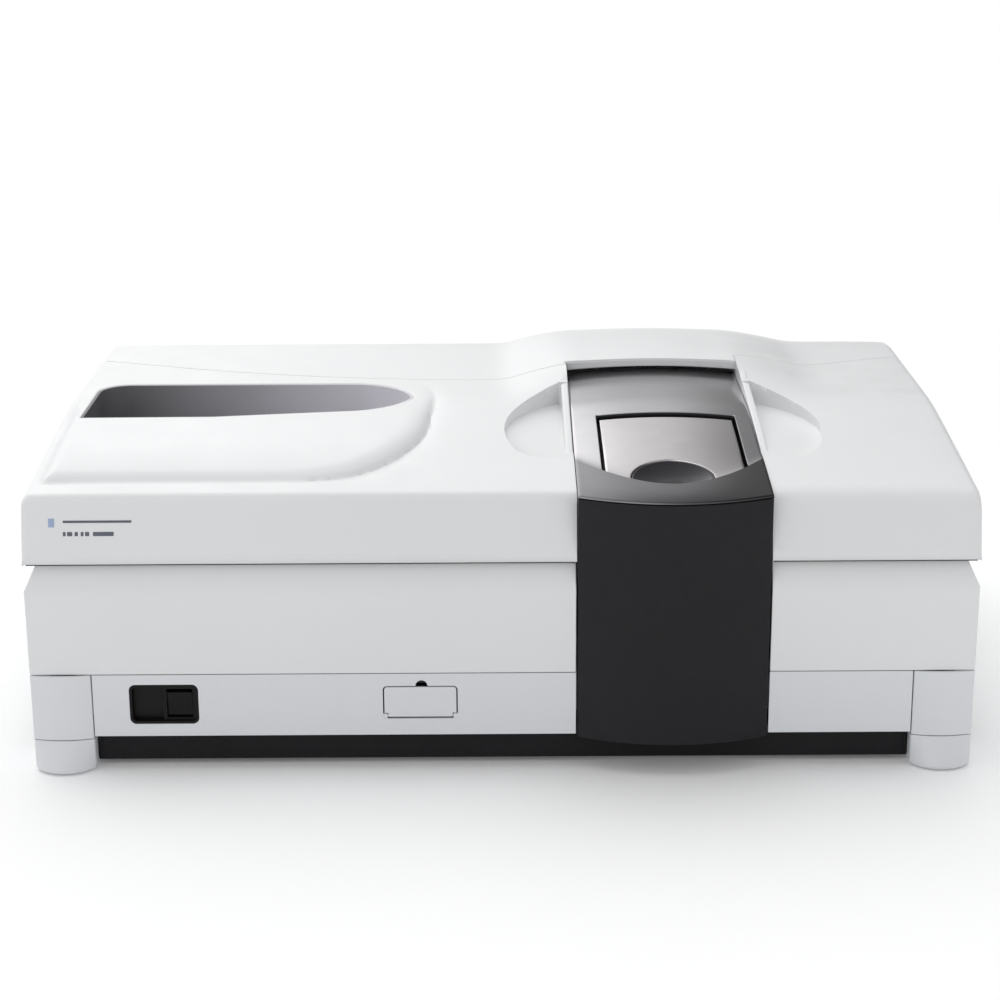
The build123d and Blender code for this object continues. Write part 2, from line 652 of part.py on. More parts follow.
with BuildPart() as lower_front_panel_left:
    front_panel(-PANEL_X, BAY_X0 - BAY_GAP)
    rounded_face(SWITCH_X0, SWITCH_X1, SWITCH_Z0, SWITCH_Z1, -2, 8, 7, mode=CUT)
    rounded_face(FLAP_X0 - FLAP_GAP, FLAP_X1 + FLAP_GAP, FLAP_Z0 - 1.3, FLAP_Z1 + FLAP_GAP,
                 -2, 8, 4.8, mode=CUT)
    # round notch in the opening's top edge
    rod_y(-87.5, FLAP_Z1 + FLAP_GAP, 6.5, -2, 8, mode=CUT)
    # ears that carry the flap's hinge pin
    block(FLAP_X0 - 2.5, FLAP_X0 + 3.2, 0.4, PANEL_T, FLAP_Z0 - 2.5, 64.2)
    block(FLAP_X1 - 3.2, FLAP_X1 + 2.5, 0.4, PANEL_T, FLAP_Z0 - 2.5, 64.2)
    rod_x(*FLAP_PIN, 1.05, FLAP_X0 + 1.7, FLAP_X1 - 1.7, mode=CUT)
save(lower_front_panel_left, "lower_front_panel_left")

with BuildPart() as lower_front_panel_right:
    front_panel(BAY_X1 + BAY_GAP, PANEL_X)
save(lower_front_panel_right, "lower_front_panel_right")

with BuildPart() as side_panels:
    for side in (-1, 1):
        panel_depths = (POD + 0.4, DEPTH - POD - 0.4)
        block(*span(side, HALF_W - PANEL_T, HALF_W), *panel_depths, Z_PANEL, PANEL_TOP)
        block(*span(side, HALF_W - 12, HALF_W - 3), *panel_depths, Z_PANEL, Z_PANEL + 3)
save(side_panels, "side_panels")

with BuildPart() as rear_panel:
    block(-PANEL_X, PANEL_X, DEPTH - PANEL_T, DEPTH, Z_PANEL, 234.6)
    # round grille of horizontal slots behind each fan
    for x, z in FANS:
        for k in range(-4, 5):
            rise = k * 8.0
            half = (36.0 ** 2 - rise ** 2) ** 0.5
            rounded_face(x - half, x + half, z + rise - 2.4, z + rise + 2.4, 620, 635, 2,
                         mode=CUT)
    # row of upright slots between the fans
    for k in range(9):
        x = -110 + k * 30
        rounded_face(x - 3, x + 3, 130, 200, 620, 635, 2.9, mode=CUT)
    # openings for the mains inlet and the data socket
    rounded_face(-426, -376, 66, 98, 620, 635, 2, mode=CUT)
    rounded_face(-200, -160, 110, 122, 620, 635, 2, mode=CUT)
    for x in SCREW_XS:
        rod_y(x, SCREW_Z, 2.1, 620, 635, mode=CUT)
        rod_y(x, SCREW_Z, 4.1, 628, 635, mode=CUT)
save(rear_panel, "rear_panel")

with BuildPart() as panel_screws:
    for x in SCREW_XS:
        rod_y(x, SCREW_Z, 2.0, 614, 629)
        rod_y(x, SCREW_Z, 4.0, 628, 629.8)
        block(x - 3, x + 3, 629, 631, SCREW_Z - 0.5, SCREW_Z + 0.5, mode=CUT)
save(panel_screws, "panel_screws")

with BuildPart() as rear_frame:        # crossbar on four posts
    block(-480, 480, 589, 601, 270, 284)
    for x in (-474, -44, 300, 474):
        post(x, 595, 6, TUB_Z1, 271)
save(rear_frame, "rear_frame")

# ------------------------------------------------------------------ power switch
ROCKER_X = -350          # middle of the rocker
ROCKER_DEPTH, ROCKER_Z = 13, 76.5      # rocker axis
ROCKER_TILT = 8.0        # degrees
# Rocker profile when level: depth, height above the axis
ROCKER_PROFILE = [(5.2, -14), (7.0, 0), (5.2, 14), (14, 13), (20, 5), (20, -5), (14, -13)]

with BuildPart() as switch_bezel:
    rounded_face(SWITCH_X0 + 0.3, SWITCH_X1 - 0.3, SWITCH_Z0 + 0.3, SWITCH_Z1 - 0.3,
                 0.4, 34, 6.7)
    rounded_face(SWITCH_X0 + 3, SWITCH_X1 - 3, SWITCH_Z0 + 3, SWITCH_Z1 - 3, -1, 9, 4.5,
                 mode=CUT)
    # raised frame around the rocker, its well and pivot hole
    block(ROCKER_X - 18, ROCKER_X + 17.8, 4, 9.5, 57, 96.5)
    block(ROCKER_X - 14, ROCKER_X + 14, 0, 30, ROCKER_Z - 16.5, ROCKER_Z + 16.5, mode=CUT)
    rod_x(ROCKER_DEPTH, ROCKER_Z, 1.55, ROCKER_X - 16, ROCKER_X + 16, mode=CUT)
save(switch_bezel, "switch_bezel")

with BuildPart() as rocker_level:
    with BuildSketch(Plane.YZ.offset(ROCKER_X - 13.4)) as profile:
        with BuildLine():
            Polyline(*[(y_at(depth), ROCKER_Z + rise) for depth, rise in ROCKER_PROFILE],
                     close=True)
        make_face()
    extrude(profile.sketch, amount=2 * 13.4)
    rod_x(ROCKER_DEPTH, ROCKER_Z, 1.5, ROCKER_X - 15.5, ROCKER_X + 15.5)

with BuildPart() as power_rocker:
    rocker_axis = Axis((0, y_at(ROCKER_DEPTH), ROCKER_Z), (1, 0, 0))
    add(rocker_level.part.rotate(rocker_axis, ROCKER_TILT))
save(power_rocker, "power_rocker")

# ------------------------------------------------------------------ access flap, left panel
with BuildPart() as flap_well:
    block(FLAP_X0 - 7, FLAP_X1 + 7, 3.6, 46, FLAP_Z0 - 6, FLAP_Z1 + 6)
    block(FLAP_X0 - 5, FLAP_X1 + 5, 0, 44, FLAP_Z0 - 4, FLAP_Z1 + 4, mode=CUT)
    # ring standing on the back wall
    with BuildSketch(Plane.XZ.offset(-y_at(36))) as ring:
        with Locations(((FLAP_X0 + FLAP_X1) / 2, 78)):
            Circle(9)
            Circle(6, mode=CUT)
    extrude(ring.sketch, amount=-8.5)
save(flap_well, "flap_well")

with BuildPart() as flap_pin:
    rod_x(*FLAP_PIN, 1.0, FLAP_X0 + 1.8, FLAP_X1 - 1.8)
save(flap_pin, "flap_pin")

with BuildPart() as access_flap:
    rounded_face(FLAP_X0, FLAP_X1, FLAP_Z0 + 0.4, FLAP_Z1, 0.3, 3.3, 3.4)
    # room for the ears, then the hinge barrel between them
    block(FLAP_X0 - 1, FLAP_X0 + 4.1, -2, 8, 58, 65.2, mode=CUT)
    block(FLAP_X1 - 4.1, FLAP_X1 + 1, -2, 8, 58, 65.2, mode=CUT)
    block(FLAP_X0 - 1, FLAP_X1 + 1, -2, 8, 58, 62, mode=CUT)
    rod_x(*FLAP_PIN, 1.8, FLAP_X0 + 4.1, FLAP_X1 - 4.1)
    rod_x(*FLAP_PIN, 1.05, FLAP_X0 - 1, FLAP_X1 + 1, mode=CUT)
save(access_flap, "access_flap")

# ------------------------------------------------------------------ sample bay
LINER_X0, LINER_X1 = BAY_X0 + 8, BAY_X1 - 8    # outer faces of the liner walls
LINER_T = 2.5
LINER_TOP = 284
CUVETTE_HALF = 6.25

with BuildPart() as bay_liner:
    liner_inside = (LINER_X0 + LINER_T, LINER_X1 - LINER_T)
    block(LINER_X0, LINER_X1, 12, 262, TUB_Z1 + 0.5, LINER_TOP)
    block(*liner_inside, 5, 262 - LINER_T, TUB_Z1 + 3, 290, mode=CUT)
    # flanges beside the open front
    block(BAY_X0 + 1.6, BAY_X1 - 1.6, 10, 12.5, TUB_Z1 + 0.5, LINER_TOP)
    block(*liner_inside, 5, 20, TUB_Z1 + 3, 290, mode=CUT)
    # flanges along the top of the side walls
    block(BAY_X0 + 2, LINER_X0 + 0.5, 12, 262, LINER_TOP - LINER_T, LINER_TOP)
    block(LINER_X1 - 0.5, BAY_X1 - 2, 12, 262, LINER_TOP - LINER_T, LINER_TOP)
    for depth in BEAM_DEPTHS:
        rod_x(depth, BEAM_Z, 14, 80, 290, mode=CUT)
save(bay_liner, "bay_liner")

with BuildPart() as bay_windows:
    for depth in BEAM_DEPTHS:
        rod_x(depth, BEAM_Z, 13.9, LINER_X0 + 0.2, LINER_X0 + 2.3)
        rod_x(depth, BEAM_Z, 13.9, LINER_X1 - 2.3, LINER_X1 - 0.2)
save(bay_windows, "bay_windows")

with BuildPart() as cell_holder:
    # foot plate, pedestal and one head for each beam
    block(BAY_XC - 64, BAY_XC + 64, 76, 226, TUB_Z1 + 3.1, 82)
    block(BAY_XC - 24, BAY_XC + 24, 92, 208, 82, 150)
    for depth in BEAM_DEPTHS:
        post(BAY_XC, depth, 20, 150, 192)
    for depth in BEAM_DEPTHS:
        post(BAY_XC, depth, CUVETTE_HALF + 0.1, 158, 200, mode=CUT)
        rod_x(depth, BEAM_Z, 5, 150, 220, mode=CUT)
    for x, depth in ((128, 84), (240, 84), (128, 218), (240, 218)):
        rod_z(x, depth, 5, 82, 90)
save(cell_holder, "cell_holder")

with BuildPart() as cuvettes:
    for depth in BEAM_DEPTHS:
        post(BAY_XC, depth, CUVETTE_HALF, 158, 203)
        post(BAY_XC, depth, CUVETTE_HALF - 1.25, 159.3, 210, mode=CUT)
save(cuvettes, "cuvettes")

# ------------------------------------------------------------------ monochromators
MONO_X0, MONO_X1, MONO_D0, MONO_D1 = -430, -60, 262, 584
MONO_FLOOR = 79          # inside floor level

with BuildPart() as monochromator_housing:
    box(MONO_X0, MONO_X1, MONO_D0, MONO_D1, TUB_Z1 + 0.5, 240,
        wall=6, hollow_bottom=MONO_FLOOR, hollow_top=250)
    # partition between the two stages
    block(-243, -237, 268, 470, MONO_FLOOR, 200)
    for x in SLIT_XS:
        rod_y(x, OPTIC_Z, 10, 255, 275, mode=CUT)
    rod_x(440, OPTIC_Z, 8, -250, -230, mode=CUT)
save(monochromator_housing, "monochromator_housing")

with BuildPart() as monochromator_cover:
    rounded_block(MONO_X0 + 1, MONO_X1 - 1, MONO_D0 + 1, MONO_D1 - 1, 240.2, 244, 6)
    for x in (MONO_X0 + 10, (MONO_X0 + MONO_X1) / 2, MONO_X1 - 10):
        for depth in (MONO_D0 + 10, MONO_D1 - 10):
            rod_z(x, depth, 4, 244, 246)
save(monochromator_cover, "monochromator_cover")

TURRET_DEPTH = 520

for tag, x in zip("ab", MIRROR_XS):
    with BuildPart() as grating_turret:    # shaft, round table and back plate
        rod_z(x, TURRET_DEPTH, 6, 90, 106)
        rod_z(x, TURRET_DEPTH, 36, 106, 112)
        block(x - 31, x + 31, TURRET_DEPTH + 4, TURRET_DEPTH + 12, 112, 178)
    save(grating_turret, f"grating_turret_{tag}")

    with BuildPart() as grating:           # blank with its raised ruled face
        block(x - 30, x + 30, TURRET_DEPTH - 6, TURRET_DEPTH + 3.9, 114, 176)
        block(x - 27, x + 27, TURRET_DEPTH - 6.6, TURRET_DEPTH - 6, 117, 173)
    save(grating, f"grating_{tag}")

with BuildPart() as turret_drives:
    for x in MIRROR_XS:
        rounded_block(x - 21, x + 21, TURRET_DEPTH - 21, TURRET_DEPTH + 21,
                      MONO_FLOOR + 0.1, 103, 4)
        rod_z(x, TURRET_DEPTH, 11, 103, 105)
        rod_z(x, TURRET_DEPTH, 6.05, 88, 110, mode=CUT)
save(turret_drives, "turret_drives")

with BuildPart() as collimating_mirrors:   # concave towards the rear
    for x in MIRROR_XS:
        rod_y(x, OPTIC_Z, 38, 300, 314)
        block(x - 14, x + 14, 292, 308, MONO_FLOOR + 0.1, 130)
    with Locations(*[(x, y_at(612), OPTIC_Z) for x in MIRROR_XS]):
        Sphere(300, mode=CUT)
save(collimating_mirrors, "collimating_mirrors")

with BuildPart() as slit_plates:
    for x in SLIT_XS:
        block(x - 18, x + 18, 276, 278, MONO_FLOOR + 0.1, 176)
        block(x - 0.6, x + 0.6, 275, 279, OPTIC_Z - 8, OPTIC_Z + 8, mode=CUT)
save(slit_plates, "slit_plates")

# ------------------------------------------------------------------ light sources
SOURCE_X, SOURCE_DEPTH = SLIT_XS[0], 195       # source mirror, in line with the entrance slit

with BuildPart() as lamp_housing:
    box(-470, -300, 60, 236, TUB_Z1 + 0.5, 215,
        wall=3, hollow_bottom=TUB_Z1 + 3.5, hollow_top=220)
    # vent slots in the front wall
    for k in range(8):
        x = -452 + k * 20
        rounded_face(x - 3, x + 3, 150, 200, 50, 75, 2.9, mode=CUT)
    rod_y(SOURCE_X, OPTIC_Z, 10, 225, 240, mode=CUT)
    # socket for the source mirror's stem
    rod_z(SOURCE_X, SOURCE_DEPTH, 12, 75, 96)
    rod_z(SOURCE_X, SOURCE_DEPTH, 3.05, 80, 100, mode=CUT)
save(lamp_housing, "lamp_housing")


def save_lamp(name, x, base_radius, base_top, bulb_radius, bulb_top):
    """Lamp base with a round-topped bulb."""
    with BuildPart() as lamp:
        rod_z(x, 150, base_radius, TUB_Z1 + 3.6, base_top)
        rod_z(x, 150, bulb_radius, base_top, bulb_top)
        with Locations((x, y_at(150), bulb_top)):
            Sphere(bulb_radius)
    save(lamp, name)


save_lamp("deuterium_lamp", -430, base_radius=20, base_top=96, bulb_radius=14, bulb_top=158)
save_lamp("tungsten_lamp", -340, base_radius=12, base_top=110, bulb_radius=5.5, bulb_top=150)

with BuildPart() as source_mirror:
    rod_z(SOURCE_X, SOURCE_DEPTH, 3, 82, 130)
    rod_z(SOURCE_X, SOURCE_DEPTH, 7, 97, 104)
    block(SOURCE_X - 15, SOURCE_X + 15, SOURCE_DEPTH - 2, SOURCE_DEPTH + 2, 128, 172)
save(source_mirror, "source_mirror")

# ------------------------------------------------------------------ filter wheel and chopper
WHEEL = (180, 140)       # filter wheel axis: depth, Z
CHOPPER = (120, 150)     # chopper axis: depth, Z
MOTOR_BORE_R = 3.05


def ring_of_holes(axis, ring_radius, count, hole_radius, left, right, start_angle=0.0):
    """Round holes through a disc, evenly spaced around its axis (depth, Z)."""
    depth, z = axis
    with BuildSketch(Plane.YZ.offset(left)) as holes:
        with Locations((y_at(depth), z)):
            with PolarLocations(ring_radius, count, start_angle=start_angle):
                Circle(hole_radius)
    extrude(holes.sketch, amount=right - left, mode=CUT)


with BuildPart() as filter_wheel:
    rod_x(*WHEEL, 38, -200, -196)
    ring_of_holes(WHEEL, 26, 6, 8, -201, -195)
    rod_x(*WHEEL, 6, -196, -193)
    rod_x(*WHEEL, 3, -193, -176)
save(filter_wheel, "filter_wheel")

with BuildPart() as chopper_disc:
    rod_x(*CHOPPER, 46, 14, 16)
    ring_of_holes(CHOPPER, 31, 2, 11, 13, 17, start_angle=20)
    rod_x(*CHOPPER, 8, 10, 16)
    rod_x(*CHOPPER, 3, -6, 14)
save(chopper_disc, "chopper_disc")

with BuildPart() as wheel_motors:      # small motors of the filter wheel and the chopper
    rod_x(*WHEEL, 20, -190, -150)
    block(-188, -152, 160, 200, TUB_Z1 + 0.2, 128)
    rod_x(*WHEEL, MOTOR_BORE_R, -191, -174, mode=CUT)
    rod_x(*CHOPPER, 19, -34, 8)
    block(-30, 4, 102, 138, TUB_Z1 + 0.2, 138)
    rod_x(*CHOPPER, MOTOR_BORE_R, -8, 9, mode=CUT)
save(wheel_motors, "wheel_motors")

with BuildPart() as beam_mirrors:      # upright mirrors on posts: x, depth, angle in plan
    for x, depth, angle in ((-110, 215, 45), (50, 215, -45), (56, 60, 45), (-60, 60, 45)):
        rod_z(x, depth, 5, TUB_Z1 + 0.2, 158)
        with BuildSketch(Plane.XY.offset(158)) as plate:
            with Locations((x, y_at(depth))):
                Rectangle(34, 6, rotation=angle)
        extrude(plate.sketch, amount=36)
save(beam_mirrors, "beam_mirrors")

# ------------------------------------------------------------------ detectors
with BuildPart() as detector_housing:
    box(300, 470, 60, 280, TUB_Z1 + 0.5, 220,
        wall=4, hollow_bottom=TUB_Z1 + 4.5, hollow_top=225)
    for depth in BEAM_DEPTHS:
        rod_x(depth, BEAM_Z, 12, 290, 310, mode=CUT)
save(detector_housing, "detector_housing")

with BuildPart() as photomultiplier:   # base, tube and cap
    rod_z(420, 150, 19, TUB_Z1 + 4.6, 104)
    rod_z(420, 150, 14.2, 104, 196)
    rod_z(420, 150, 19, 196, 200)
save(photomultiplier, "photomultiplier")

with BuildPart() as infrared_detector:
    block(345, 375, 225, 262, TUB_Z1 + 4.6, 150)
    rod_z(360, 243, 12, 150, 186)
    rod_x(243, 168, 6, 345, 350)
save(infrared_detector, "infrared_detector")

# ------------------------------------------------------------------ electronics
ELECTRONICS = (312, 470, 330, 560)     # plan of supply and board: left, right, front, back
SUPPLY_TOP = 140
BOARD_Z0, BOARD_Z1 = 160, 161.8
# Board components: left, right, front, back, height
COMPONENTS = (
    (330, 362, 350, 382, 3), (380, 410, 352, 374, 2.5), (425, 460, 350, 366, 9),
    (330, 350, 410, 470, 2.5), (372, 392, 410, 440, 2.5), (372, 392, 455, 475, 6),
    (415, 455, 400, 440, 14), (330, 460, 535, 547, 9), (420, 428, 470, 500, 3),
    (436, 444, 470, 500, 3))

with BuildPart() as power_supply:
    box(*ELECTRONICS, TUB_Z1 + 0.5, SUPPLY_TOP,
        wall=2, hollow_bottom=TUB_Z1 + 2.5, hollow_top=SUPPLY_TOP - 2)
    # slots in the top
    for k in range(11):
        x = 325 + k * 13
        rounded_block(x, x + 6, 400, 500, 130, 150, 2.9, mode=CUT)
save(power_supply, "power_supply")

with BuildPart() as control_board:
    block(*ELECTRONICS, BOARD_Z0, BOARD_Z1)
    for x, depth in ((320, 338), (462, 338), (320, 552), (462, 552)):
        rod_z(x, depth, 3, SUPPLY_TOP + 0.1, BOARD_Z0)
    for left, right, front, back, height in COMPONENTS:
        block(left, right, front, back, 161.5, BOARD_Z1 + height)
save(control_board, "control_board")

with BuildPart() as fan_frames:
    for x, z in FANS:
        rounded_face(x - 40, x + 40, z - 40, z + 40, 601.3, 626.3, 5)
        rod_y(x, z, 37.5, 600, 630, mode=CUT)
    # hub, cross arms and spindle
    for x, z in FANS:
        rod_y(x, z, 16, 623.4, 626.3)
        block(x - 38.5, x + 38.5, 623.4, 626.3, z - 2.2, z + 2.2)
        block(x - 2.2, x + 2.2, 623.4, 626.3, z - 38.5, z + 38.5)
        rod_y(x, z, 2.5, 610, 624)
save(fan_frames, "fan_frames")

for side_name, (x, z) in zip(("left", "right"), FANS):
    with BuildPart() as fan_rotor:     # hub with seven blades
        rod_y(x, z, 16, 604, 622.6)
        with BuildSketch(Plane.XZ.offset(-y_at(606))) as blades:
            with Locations((x, z)):
                with PolarLocations(25, 7):
                    Rectangle(20.5, 4.5, rotation=20)
        extrude(blades.sketch, amount=-13)
        rod_y(x, z, 2.55, 609, 624, mode=CUT)
    save(fan_rotor, f"fan_rotor_{side_name}")

with BuildPart() as rear_sockets:
    # mains inlet with three contacts
    rounded_face(-425.6, -376.4, 66.4, 97.6, 612.3, 629.6, 1.8)
    rounded_face(-415, -387, 72, 92, 616, 635, 3, mode=CUT)
    for x in (-408, -401, -394):
        block(x - 1, x + 1, 615.5, 626, 80, 85)
    # data socket
    rounded_face(-199.6, -160.4, 110.4, 121.6, 613, 629.6, 1.8)
    rounded_face(-194, -166, 112.6, 119.4, 622, 635, 1.5, mode=CUT)
save(rear_sockets, "rear_sockets")

# Cable run along the base floor, from the lamp housing to the power supply: x, depth
CABLE_RUN = [(-288, 64), (-288, 249), (20, 249), (60, 300), (240, 300), (309, 380)]

with BuildPart() as cable_harness:
    with BuildLine() as run:
        FilletPolyline(*[(x, y_at(depth), TUB_Z1 + 5) for x, depth in CABLE_RUN], radius=16)
    with BuildSketch(Plane(origin=run.line @ 0, z_dir=run.line % 0)) as cable_section:
        Circle(3)
    sweep(cable_section.sketch, path=run.line)
save(cable_harness, "cable_harness")
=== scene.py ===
# A bench-top optical instrument: a wide white case with a tray on the left and, right of
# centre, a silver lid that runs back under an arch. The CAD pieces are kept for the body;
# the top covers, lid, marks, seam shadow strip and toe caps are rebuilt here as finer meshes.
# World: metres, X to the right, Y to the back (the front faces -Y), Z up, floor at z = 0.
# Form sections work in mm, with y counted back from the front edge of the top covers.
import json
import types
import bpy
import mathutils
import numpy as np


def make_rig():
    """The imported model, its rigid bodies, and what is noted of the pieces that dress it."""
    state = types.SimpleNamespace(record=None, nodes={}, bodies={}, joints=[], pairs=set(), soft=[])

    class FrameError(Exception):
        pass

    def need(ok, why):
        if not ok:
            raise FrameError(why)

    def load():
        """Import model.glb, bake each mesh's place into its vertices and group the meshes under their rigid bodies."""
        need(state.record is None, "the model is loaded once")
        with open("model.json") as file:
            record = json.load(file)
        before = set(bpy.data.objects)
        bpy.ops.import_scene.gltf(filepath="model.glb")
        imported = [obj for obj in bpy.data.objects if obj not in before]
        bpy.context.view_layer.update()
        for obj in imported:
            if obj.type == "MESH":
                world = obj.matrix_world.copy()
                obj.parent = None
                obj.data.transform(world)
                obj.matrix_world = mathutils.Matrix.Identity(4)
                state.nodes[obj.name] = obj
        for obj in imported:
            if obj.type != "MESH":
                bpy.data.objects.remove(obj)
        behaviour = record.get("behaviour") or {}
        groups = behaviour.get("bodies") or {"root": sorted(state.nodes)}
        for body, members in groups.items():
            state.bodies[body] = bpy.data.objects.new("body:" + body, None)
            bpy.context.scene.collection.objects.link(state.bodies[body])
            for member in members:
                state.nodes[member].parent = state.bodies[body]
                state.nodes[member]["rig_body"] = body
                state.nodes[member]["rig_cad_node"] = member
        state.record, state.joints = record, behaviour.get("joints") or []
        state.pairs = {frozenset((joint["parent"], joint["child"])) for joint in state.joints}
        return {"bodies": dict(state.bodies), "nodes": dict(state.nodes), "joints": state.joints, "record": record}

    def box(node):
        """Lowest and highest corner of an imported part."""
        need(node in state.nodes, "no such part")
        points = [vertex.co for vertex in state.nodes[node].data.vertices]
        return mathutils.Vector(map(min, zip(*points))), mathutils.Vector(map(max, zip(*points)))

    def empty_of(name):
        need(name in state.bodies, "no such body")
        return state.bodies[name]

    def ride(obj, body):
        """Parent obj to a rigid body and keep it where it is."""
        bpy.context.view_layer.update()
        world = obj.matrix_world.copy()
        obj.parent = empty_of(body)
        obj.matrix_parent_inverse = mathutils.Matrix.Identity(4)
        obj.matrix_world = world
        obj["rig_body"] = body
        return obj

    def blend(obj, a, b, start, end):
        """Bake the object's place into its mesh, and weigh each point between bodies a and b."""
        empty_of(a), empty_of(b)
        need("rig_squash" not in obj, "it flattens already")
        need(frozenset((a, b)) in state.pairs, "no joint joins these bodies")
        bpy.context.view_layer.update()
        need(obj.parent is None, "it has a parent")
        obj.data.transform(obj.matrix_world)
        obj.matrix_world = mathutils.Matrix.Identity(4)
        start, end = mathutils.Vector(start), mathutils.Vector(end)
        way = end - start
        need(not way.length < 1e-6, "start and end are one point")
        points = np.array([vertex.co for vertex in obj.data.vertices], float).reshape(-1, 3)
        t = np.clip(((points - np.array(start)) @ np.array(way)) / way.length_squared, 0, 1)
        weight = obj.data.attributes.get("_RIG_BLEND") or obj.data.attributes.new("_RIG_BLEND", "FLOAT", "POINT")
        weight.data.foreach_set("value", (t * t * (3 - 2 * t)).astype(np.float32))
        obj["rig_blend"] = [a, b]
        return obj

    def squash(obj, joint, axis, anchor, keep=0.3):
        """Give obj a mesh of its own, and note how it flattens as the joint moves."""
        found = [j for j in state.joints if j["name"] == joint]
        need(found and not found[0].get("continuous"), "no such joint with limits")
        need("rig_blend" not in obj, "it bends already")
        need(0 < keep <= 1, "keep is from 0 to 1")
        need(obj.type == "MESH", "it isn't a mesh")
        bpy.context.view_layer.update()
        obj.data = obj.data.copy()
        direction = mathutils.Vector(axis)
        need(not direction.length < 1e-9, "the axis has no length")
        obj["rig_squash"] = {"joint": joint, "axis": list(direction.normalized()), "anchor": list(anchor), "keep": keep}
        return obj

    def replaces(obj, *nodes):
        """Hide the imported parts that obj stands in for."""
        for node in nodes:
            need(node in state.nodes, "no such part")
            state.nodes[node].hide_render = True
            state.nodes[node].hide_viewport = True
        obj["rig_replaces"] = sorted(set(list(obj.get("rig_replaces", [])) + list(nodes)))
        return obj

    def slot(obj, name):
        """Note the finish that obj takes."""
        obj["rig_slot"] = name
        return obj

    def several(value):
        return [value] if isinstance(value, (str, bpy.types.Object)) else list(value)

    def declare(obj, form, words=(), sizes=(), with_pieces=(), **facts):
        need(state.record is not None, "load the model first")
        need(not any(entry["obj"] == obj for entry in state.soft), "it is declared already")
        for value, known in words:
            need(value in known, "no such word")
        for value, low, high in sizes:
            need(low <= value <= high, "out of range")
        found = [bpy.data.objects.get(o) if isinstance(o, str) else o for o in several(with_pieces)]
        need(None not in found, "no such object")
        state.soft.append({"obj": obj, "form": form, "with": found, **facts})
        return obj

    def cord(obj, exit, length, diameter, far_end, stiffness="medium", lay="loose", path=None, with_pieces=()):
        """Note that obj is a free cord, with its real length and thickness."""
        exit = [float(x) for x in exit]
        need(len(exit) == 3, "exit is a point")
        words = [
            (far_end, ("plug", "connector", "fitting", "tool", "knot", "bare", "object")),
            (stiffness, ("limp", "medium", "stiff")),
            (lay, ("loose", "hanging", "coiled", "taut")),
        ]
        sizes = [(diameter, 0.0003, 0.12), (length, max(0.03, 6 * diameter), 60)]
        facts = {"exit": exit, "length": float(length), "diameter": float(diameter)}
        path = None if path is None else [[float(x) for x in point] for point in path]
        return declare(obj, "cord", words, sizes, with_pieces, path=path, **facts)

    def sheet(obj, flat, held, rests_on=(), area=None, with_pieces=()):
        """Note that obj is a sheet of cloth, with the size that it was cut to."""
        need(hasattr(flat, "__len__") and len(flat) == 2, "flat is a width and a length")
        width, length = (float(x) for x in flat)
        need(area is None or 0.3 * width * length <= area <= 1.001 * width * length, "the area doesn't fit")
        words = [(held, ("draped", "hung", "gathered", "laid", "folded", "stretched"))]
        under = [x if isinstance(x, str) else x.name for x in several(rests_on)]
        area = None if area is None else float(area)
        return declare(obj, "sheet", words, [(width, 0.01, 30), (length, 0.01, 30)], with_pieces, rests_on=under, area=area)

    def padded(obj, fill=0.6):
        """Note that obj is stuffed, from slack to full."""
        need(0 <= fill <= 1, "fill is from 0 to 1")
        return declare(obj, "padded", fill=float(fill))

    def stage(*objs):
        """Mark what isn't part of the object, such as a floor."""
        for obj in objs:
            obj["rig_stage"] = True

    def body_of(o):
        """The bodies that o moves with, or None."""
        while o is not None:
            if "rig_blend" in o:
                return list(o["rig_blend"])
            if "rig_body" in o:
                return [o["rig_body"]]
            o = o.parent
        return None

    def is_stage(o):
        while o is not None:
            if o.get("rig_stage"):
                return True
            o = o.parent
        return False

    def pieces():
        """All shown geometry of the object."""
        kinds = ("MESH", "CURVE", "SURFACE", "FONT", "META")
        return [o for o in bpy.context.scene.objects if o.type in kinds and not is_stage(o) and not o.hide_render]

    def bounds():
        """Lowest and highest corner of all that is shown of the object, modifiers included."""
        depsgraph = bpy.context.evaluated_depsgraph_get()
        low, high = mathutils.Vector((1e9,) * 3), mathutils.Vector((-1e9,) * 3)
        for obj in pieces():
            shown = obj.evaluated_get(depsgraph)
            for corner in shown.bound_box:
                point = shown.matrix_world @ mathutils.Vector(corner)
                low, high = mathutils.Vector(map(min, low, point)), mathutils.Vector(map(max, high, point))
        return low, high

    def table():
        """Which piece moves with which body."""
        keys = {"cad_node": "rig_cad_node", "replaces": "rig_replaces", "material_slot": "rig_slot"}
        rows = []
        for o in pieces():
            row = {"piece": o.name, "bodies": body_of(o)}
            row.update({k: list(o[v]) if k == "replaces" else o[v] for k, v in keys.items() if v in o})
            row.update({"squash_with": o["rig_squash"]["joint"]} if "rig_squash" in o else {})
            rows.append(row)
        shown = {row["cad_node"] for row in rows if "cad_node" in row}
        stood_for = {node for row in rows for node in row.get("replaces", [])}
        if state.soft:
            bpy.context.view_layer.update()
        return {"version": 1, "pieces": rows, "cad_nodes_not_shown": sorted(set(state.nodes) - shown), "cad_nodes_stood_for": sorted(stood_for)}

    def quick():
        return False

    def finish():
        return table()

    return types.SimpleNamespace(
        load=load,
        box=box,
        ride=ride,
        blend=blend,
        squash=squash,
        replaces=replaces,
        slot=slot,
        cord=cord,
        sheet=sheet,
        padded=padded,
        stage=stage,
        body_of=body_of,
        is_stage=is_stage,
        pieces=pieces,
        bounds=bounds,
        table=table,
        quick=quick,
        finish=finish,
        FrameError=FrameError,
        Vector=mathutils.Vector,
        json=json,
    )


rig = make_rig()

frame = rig.load()

import json
import math
import random

import bpy
import numpy as np
from mathutils import Matrix, Vector
from mathutils.geometry import delaunay_2d_cdt

